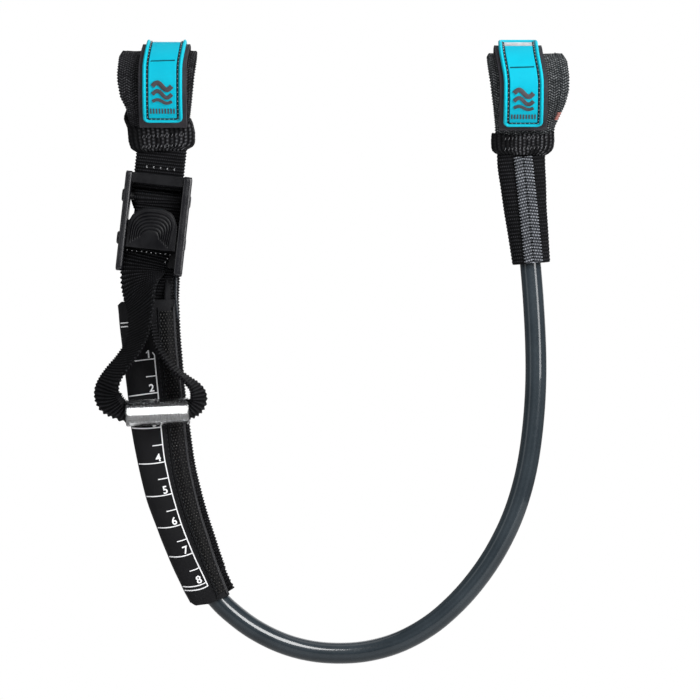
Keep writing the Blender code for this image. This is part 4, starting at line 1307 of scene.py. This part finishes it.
# Centre, width, turn about the strap's own line in degrees, thickness, and how far its ribs slant.
PULL = [
    ((-100.3, -0.1, -78.8), 23.4, 0, 1.5, 0.0), ((-102.3, -0.1, -87.5), 23.4, 0, 1.5, 0.0),
    ((-104.0, -1.2, -94.5), 23.4, 8, 1.5, 0.06), ((-105.0, -4.0, -100.0), 23.4, 24, 1.5, 0.14),
    ((-105.4, -7.8, -106.0), 23.4, 39, 1.5, 0.22), ((-105.2, -11.8, -113.0), 23.4, 49, 1.5, 0.26),
    ((-105.4, -13.2, -122.6), 23.4, 58, 1.5, 0.3), ((-106.7, -13.6, -129.6), 23.2, 61, 1.5, 0.36),
    ((-109.6, -14.0, -136.8), 23.0, 65, 1.5, 0.42), ((-114.2, -14.0, -143.4), 22.6, 66, 1.6, 0.4),
    ((-118.6, -13.6, -149.2), 22.0, 63, 1.7, 0.3), ((-121.4, -13.2, -154.4), 21.0, 56, 2.0, 0.1),
    ((-122.3, -12.6, -159.5), 19.0, 42, 2.8, -0.1), ((-120.6, -12.1, -164.0), 16.0, 24, 4.2, -0.3),
    ((-116.6, -11.8, -167.4), 12.2, 10, 6.4, -0.3), ((-112.0, -11.6, -169.6), 10.4, 0, 7.8, 0.0),
    ((-106.0, -11.6, -170.0), 10.2, 0, 8.2, 0.3), ((-96.2, -11.6, -169.5), 10.2, 0, 8.2, 0.4),
    ((-86.0, -11.6, -168.9), 10.2, 0, 8.0, 0.4), ((-79.2, -11.8, -168.0), 10.0, 12, 6.2, 0.2),
    ((-75.5, -12.2, -164.6), 11.2, 36, 4.0, 0.0), ((-75.2, -12.6, -160.2), 12.4, 50, 2.8, 0.0),
    ((-77.2, -12.4, -156.2), 12.4, 66, 2.2, 0.0), ((-82.0, -12.0, -152.0), 12.4, 76, 1.9, 0.0),
    ((-87.8, -11.8, -147.0), 12.4, 78, 1.7, 0.0), ((-92.0, -11.6, -141.6), 12.4, 80, 1.6, 0.0),
    ((-95.6, -11.4, -136.2), 12.2, 80, 1.5, 0.0), ((-97.6, -11.2, -130.0), 12.0, 80, 1.5, 0.0),
    ((-98.6, -11.2, -123.6), 12.0, 82, 1.5, 0.0),
]


def pull_strap():
    """The free end of the strap, doubled into the handle loop and sewn to its own back."""
    steps = 10
    line = smooth([p[0] for p in PULL], steps)
    sizes = smooth([p[1:4] for p in PULL], steps)
    shears = [v.x for v in smooth([(p[4], 0, 0) for p in PULL], steps)]
    sides = []
    for forward, size in zip(tangents(line), sizes):
        flat = Vector((-forward.z, 0, forward.x)).normalized()
        sides.append(Matrix.Rotation(radians(size.y), 3, forward) @ flat)
    widths, thicks = [v.x for v in sizes], [v.z for v in sizes]
    piece = webbing(
        "pull_strap", line, sides, widths, thicks, BLACK_WEB, None, "black_webbing",
        shears=shears, relief=0.65, step=0.24, columns=16,
    )
    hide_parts("pull_webbing", "handle_loop")
    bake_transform(piece)
    dots = [(-12.4 + 2.5 * k, -15.0) for k in range(10)] + [(8.9, -17.2), (8.0, -19.2)]
    pairs = [(on_buckle(u, -1.6, v), on_buckle(u + 0.7, -1.6, v), -REAR) for u, v in dots]
    threads("pull_stitches", pairs, 0.34, PALE_THREAD, *ON_STRAP)


def grip():
    """The clear tube that the loop runs through, with rounded ends."""
    slope = radians(2.4)
    axis = Vector((cos(slope), 0, sin(slope)))
    up = Vector((-sin(slope), 0, cos(slope)))
    centre = Vector((-96.2, -11.6, -169.5))
    outer, inner, half = 6.9, 5.5, 16.5
    profile = [(inner, -half + 0.5), (inner + 0.3, -half + 0.1), (outer - 0.4, -half)]
    profile += [(outer, -half + 0.5), *[(outer, a) for a in spread(-half, half, 16)[1:-1]], (outer, half - 0.5)]
    profile += [(outer - 0.4, half), (inner + 0.3, half - 0.1), (inner, half - 0.5)]
    profile += [(inner, a) for a in spread(half, -half, 16)[1:-1]]
    rows = []
    for k in range(48):
        angle = tau * k / 48
        out = up * cos(angle) + REAR * sin(angle)
        rows.append([(centre + axis * a + out * r, (a, k * 0.9)) for r, a in profile])
    rows.append(rows[0])
    piece = surface("grip_clear", rows, CLEAR, "grip", "clear_plastic", ring=True, sharp=60)
    weld(piece)
    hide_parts("grip_tube")


adjusting_strap()
pull_strap()
grip()


# Hose and its fixed end -------------------------------------------------------------------------

def hose():
    """The line's hose, hanging between the sleeve and the wrap."""
    line, along, _ = evenly(smooth(HOSE_ROUTE, 6), 2.5)
    turns = [tau * a / 40 for a in range(40)]
    rows = []
    for centre, forward, s in zip(line, tangents(line), along):
        out = Vector((-forward.z, 0, forward.x)).normalized()
        up = forward.cross(out).normalized()
        rows.append([(centre + out * HOSE_R * cos(a) + up * HOSE_R * sin(a), (a * HOSE_R, s)) for a in turns])
    piece = surface("hose_tube", rows, HOSE, None, "hose_plastic", ring=True, ends=True, sharp=70)
    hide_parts("line_hose", "core_rope")
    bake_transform(piece)


WRAP_PITCH = 1.85
# Middle's x and height, half width and half depth.
WRAP = [
    (92.8, -26.3, 12.6, 3.9), (92.9, -40.0, 12.5, 3.9), (94.0, -52.0, 11.9, 5.0),
    (95.0, -64.0, 11.2, 6.6), (96.4, -76.0, 10.6, 7.4), (98.1, -92.0, 9.8, 7.5),
]


def wrap():
    """Webbing folded round the hose's fixed end, its grey strip sewn down the front."""
    sizes = smooth([(cx, w, d) for cx, _, w, d in WRAP], 12)
    heights = [v.x for v in smooth([(cz, 0, 0) for _, cz, _, _ in WRAP], 12)]
    line = [Vector((v.x, 0, z)) for v, z in zip(sizes, heights)]
    halves, deeps = [v.y for v in sizes], [v.z for v in sizes]
    line, along, (halves, deeps) = evenly(line, 0.26, halves, deeps)
    down = (line[-1] - line[0]).normalized()
    side = Vector((-down.z, 0, down.x))
    rows = []
    count = 64
    for centre, half, deep, s in zip(line, halves, deeps, along):
        row = []
        rib = ridge(s, WRAP_PITCH)
        for j in range(count):
            x, y = squarish(tau * (j + 0.5) / count, 3.4)
            fold = 0.55 * ease(x * half, 1.0, 1.8) * (1 if y < 0 else 0)
            p = centre + side * x * (half + 0.25 * (rib - 0.5)) + REAR * y * (deep - 0.15 + 0.3 * (rib - 0.3))
            row.append((p - REAR * fold * 0.5, (x * half, s * PITCH / WRAP_PITCH)))
        rows.append(row)
    last = rows[-1]
    middle = sum([p for p, _ in last], Vector()) / count
    for share, rise in ((0.93, 0.15), (0.84, -0.2)):
        rows.append([(middle + (p - middle) * share + down * rise, place) for p, place in last])
    piece = surface("wrap_cover", rows, BLACK_WEB, *ON_STRAP, ring=True, ends=True)
    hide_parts("right_wrap")

    front, sides = [], []
    for centre, half, deep in zip(line, halves, deeps):
        if centre.z > -36.5:
            continue
        x = 93.6 + 5.5 * (-centre.z - 36.5) / 55.5
        front.append(Vector((x, -deep - 0.95, centre.z)))
        sides.append(side)
    for k, offset in enumerate((-2.35, 2.35)):
        column = [p + d * offset for p, d in zip(front, sides)]
        strip = webbing(
            f"wrap_strip_{k}", column, sides, 4.5, 1.2, GREY_WEB, *ON_STRIP,
            pitch=GREY_PITCH, relief=0.5, columns=10, step=0.2, shears=[0.18 - 0.36 * k] * len(column),
        )
        if k == 0:
            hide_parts("right_strip")
    pairs = []
    for i in range(4, len(front) - 12, 10):
        a, b = front[i] - REAR * 0.4, front[i + 8] - REAR * 0.4
        pairs.append((a - sides[i] * 0.25, b + sides[i] * 0.25, -REAR))
    threads("strip_seam", pairs, 0.24, DARK_THREAD, *ON_STRIP)


hose()
wrap()


# Stage ------------------------------------------------------------------------------------------

def lamp(name, place, aim, size, power, only=None, without=None, roll=0.0):
    """A soft lamp. It can light one glossy piece only, or every piece except one."""
    light = bpy.data.lights.new(name, "AREA")
    light.shape = "RECTANGLE"
    light.size, light.size_y = size
    light.energy = power
    made = placed(name, light)
    made.location = place
    made.visible_camera = False
    turn = (Vector(place) - Vector(aim)).to_track_quat("Z", "Y")
    made.rotation_euler = (turn @ Quaternion((0, 0, 1), radians(roll))).to_euler()
    if only or without:
        lit = bpy.data.collections.new(name)
        lit.objects.link(bpy.data.objects[only or without])
        lit.collection_objects[0].light_linking.link_state = "INCLUDE" if only else "EXCLUDE"
        made.light_linking.receiver_collection = lit


def stage():
    """Pale floor, white surroundings and soft studio light."""
    floor = bpy.data.meshes.new("floor")
    corners = [(-0.8, -0.8), (0.8, -0.8), (0.8, 0.7), (-0.8, 0.7)]
    floor.from_pydata([(x, y, -0.46) for x, y in corners], [], [(0, 1, 2, 3)])
    finish = Finish("floor_paint", 0.6)
    finish.tint(finish.noise(0.002), (0.86, 0.86, 0.87), (0.9, 0.9, 0.9))
    floor.materials.append(finish.material)
    placed("floor", floor)
    world = bpy.data.worlds.new("studio")
    bpy.context.scene.world = world
    world.use_nodes = True
    tree = world.node_tree
    sky = tree.nodes["Background"]
    seen = tree.nodes.new("ShaderNodeBackground")
    seen.inputs[0].default_value = (1, 1, 1, 1)
    sky.inputs[0].default_value = (0.95, 0.97, 1.0, 1)
    sky.inputs[1].default_value = 0.22
    path = tree.nodes.new("ShaderNodeLightPath")
    join = tree.nodes.new("ShaderNodeMixShader")
    tree.links.new(path.outputs["Is Camera Ray"], join.inputs[0])
    tree.links.new(sky.outputs[0], join.inputs[1])
    tree.links.new(seen.outputs[0], join.inputs[2])
    tree.links.new(join.outputs[0], tree.nodes["World Output"].inputs[0])
    middle = (0, 0, -0.14)
    lamp("key", (0.81, -0.81, 0.37), middle, (0.76, 1.15), 21, without="hose_tube")
    handle = (-0.096, 0, -0.17)
    lamp("front", (-0.08, -1.05, 0.40), handle, (0.16, 0.8), 1.8, without="hose_tube")
    lamp("grip_front", (-0.096, -1.0, -0.18), (-0.096, 0, -0.18), (1.2, 2.1), 52, only="grip_clear")
    lamp("hose_side", (0.94, -0.81, 0.075), (0.1, 0, 0.075), (0.4, 0.5), 9, only="hose_tube")
    lamp("hose_top", (0.247, -0.896, 0.362), (-0.03, 0, -0.29), (0.5, 0.62), 25, only="hose_tube", roll=25)
    lamp("side", (-1.0, -0.55, -0.05), middle, (0.3, 1.2), 1.5)
    lamp("top", (0.0, 0.15, 1.0), middle, (1.2, 0.6), 3)
    lamp("back", (0.3, 1.0, 0.3), middle, (1.2, 0.9), 4)


stage()
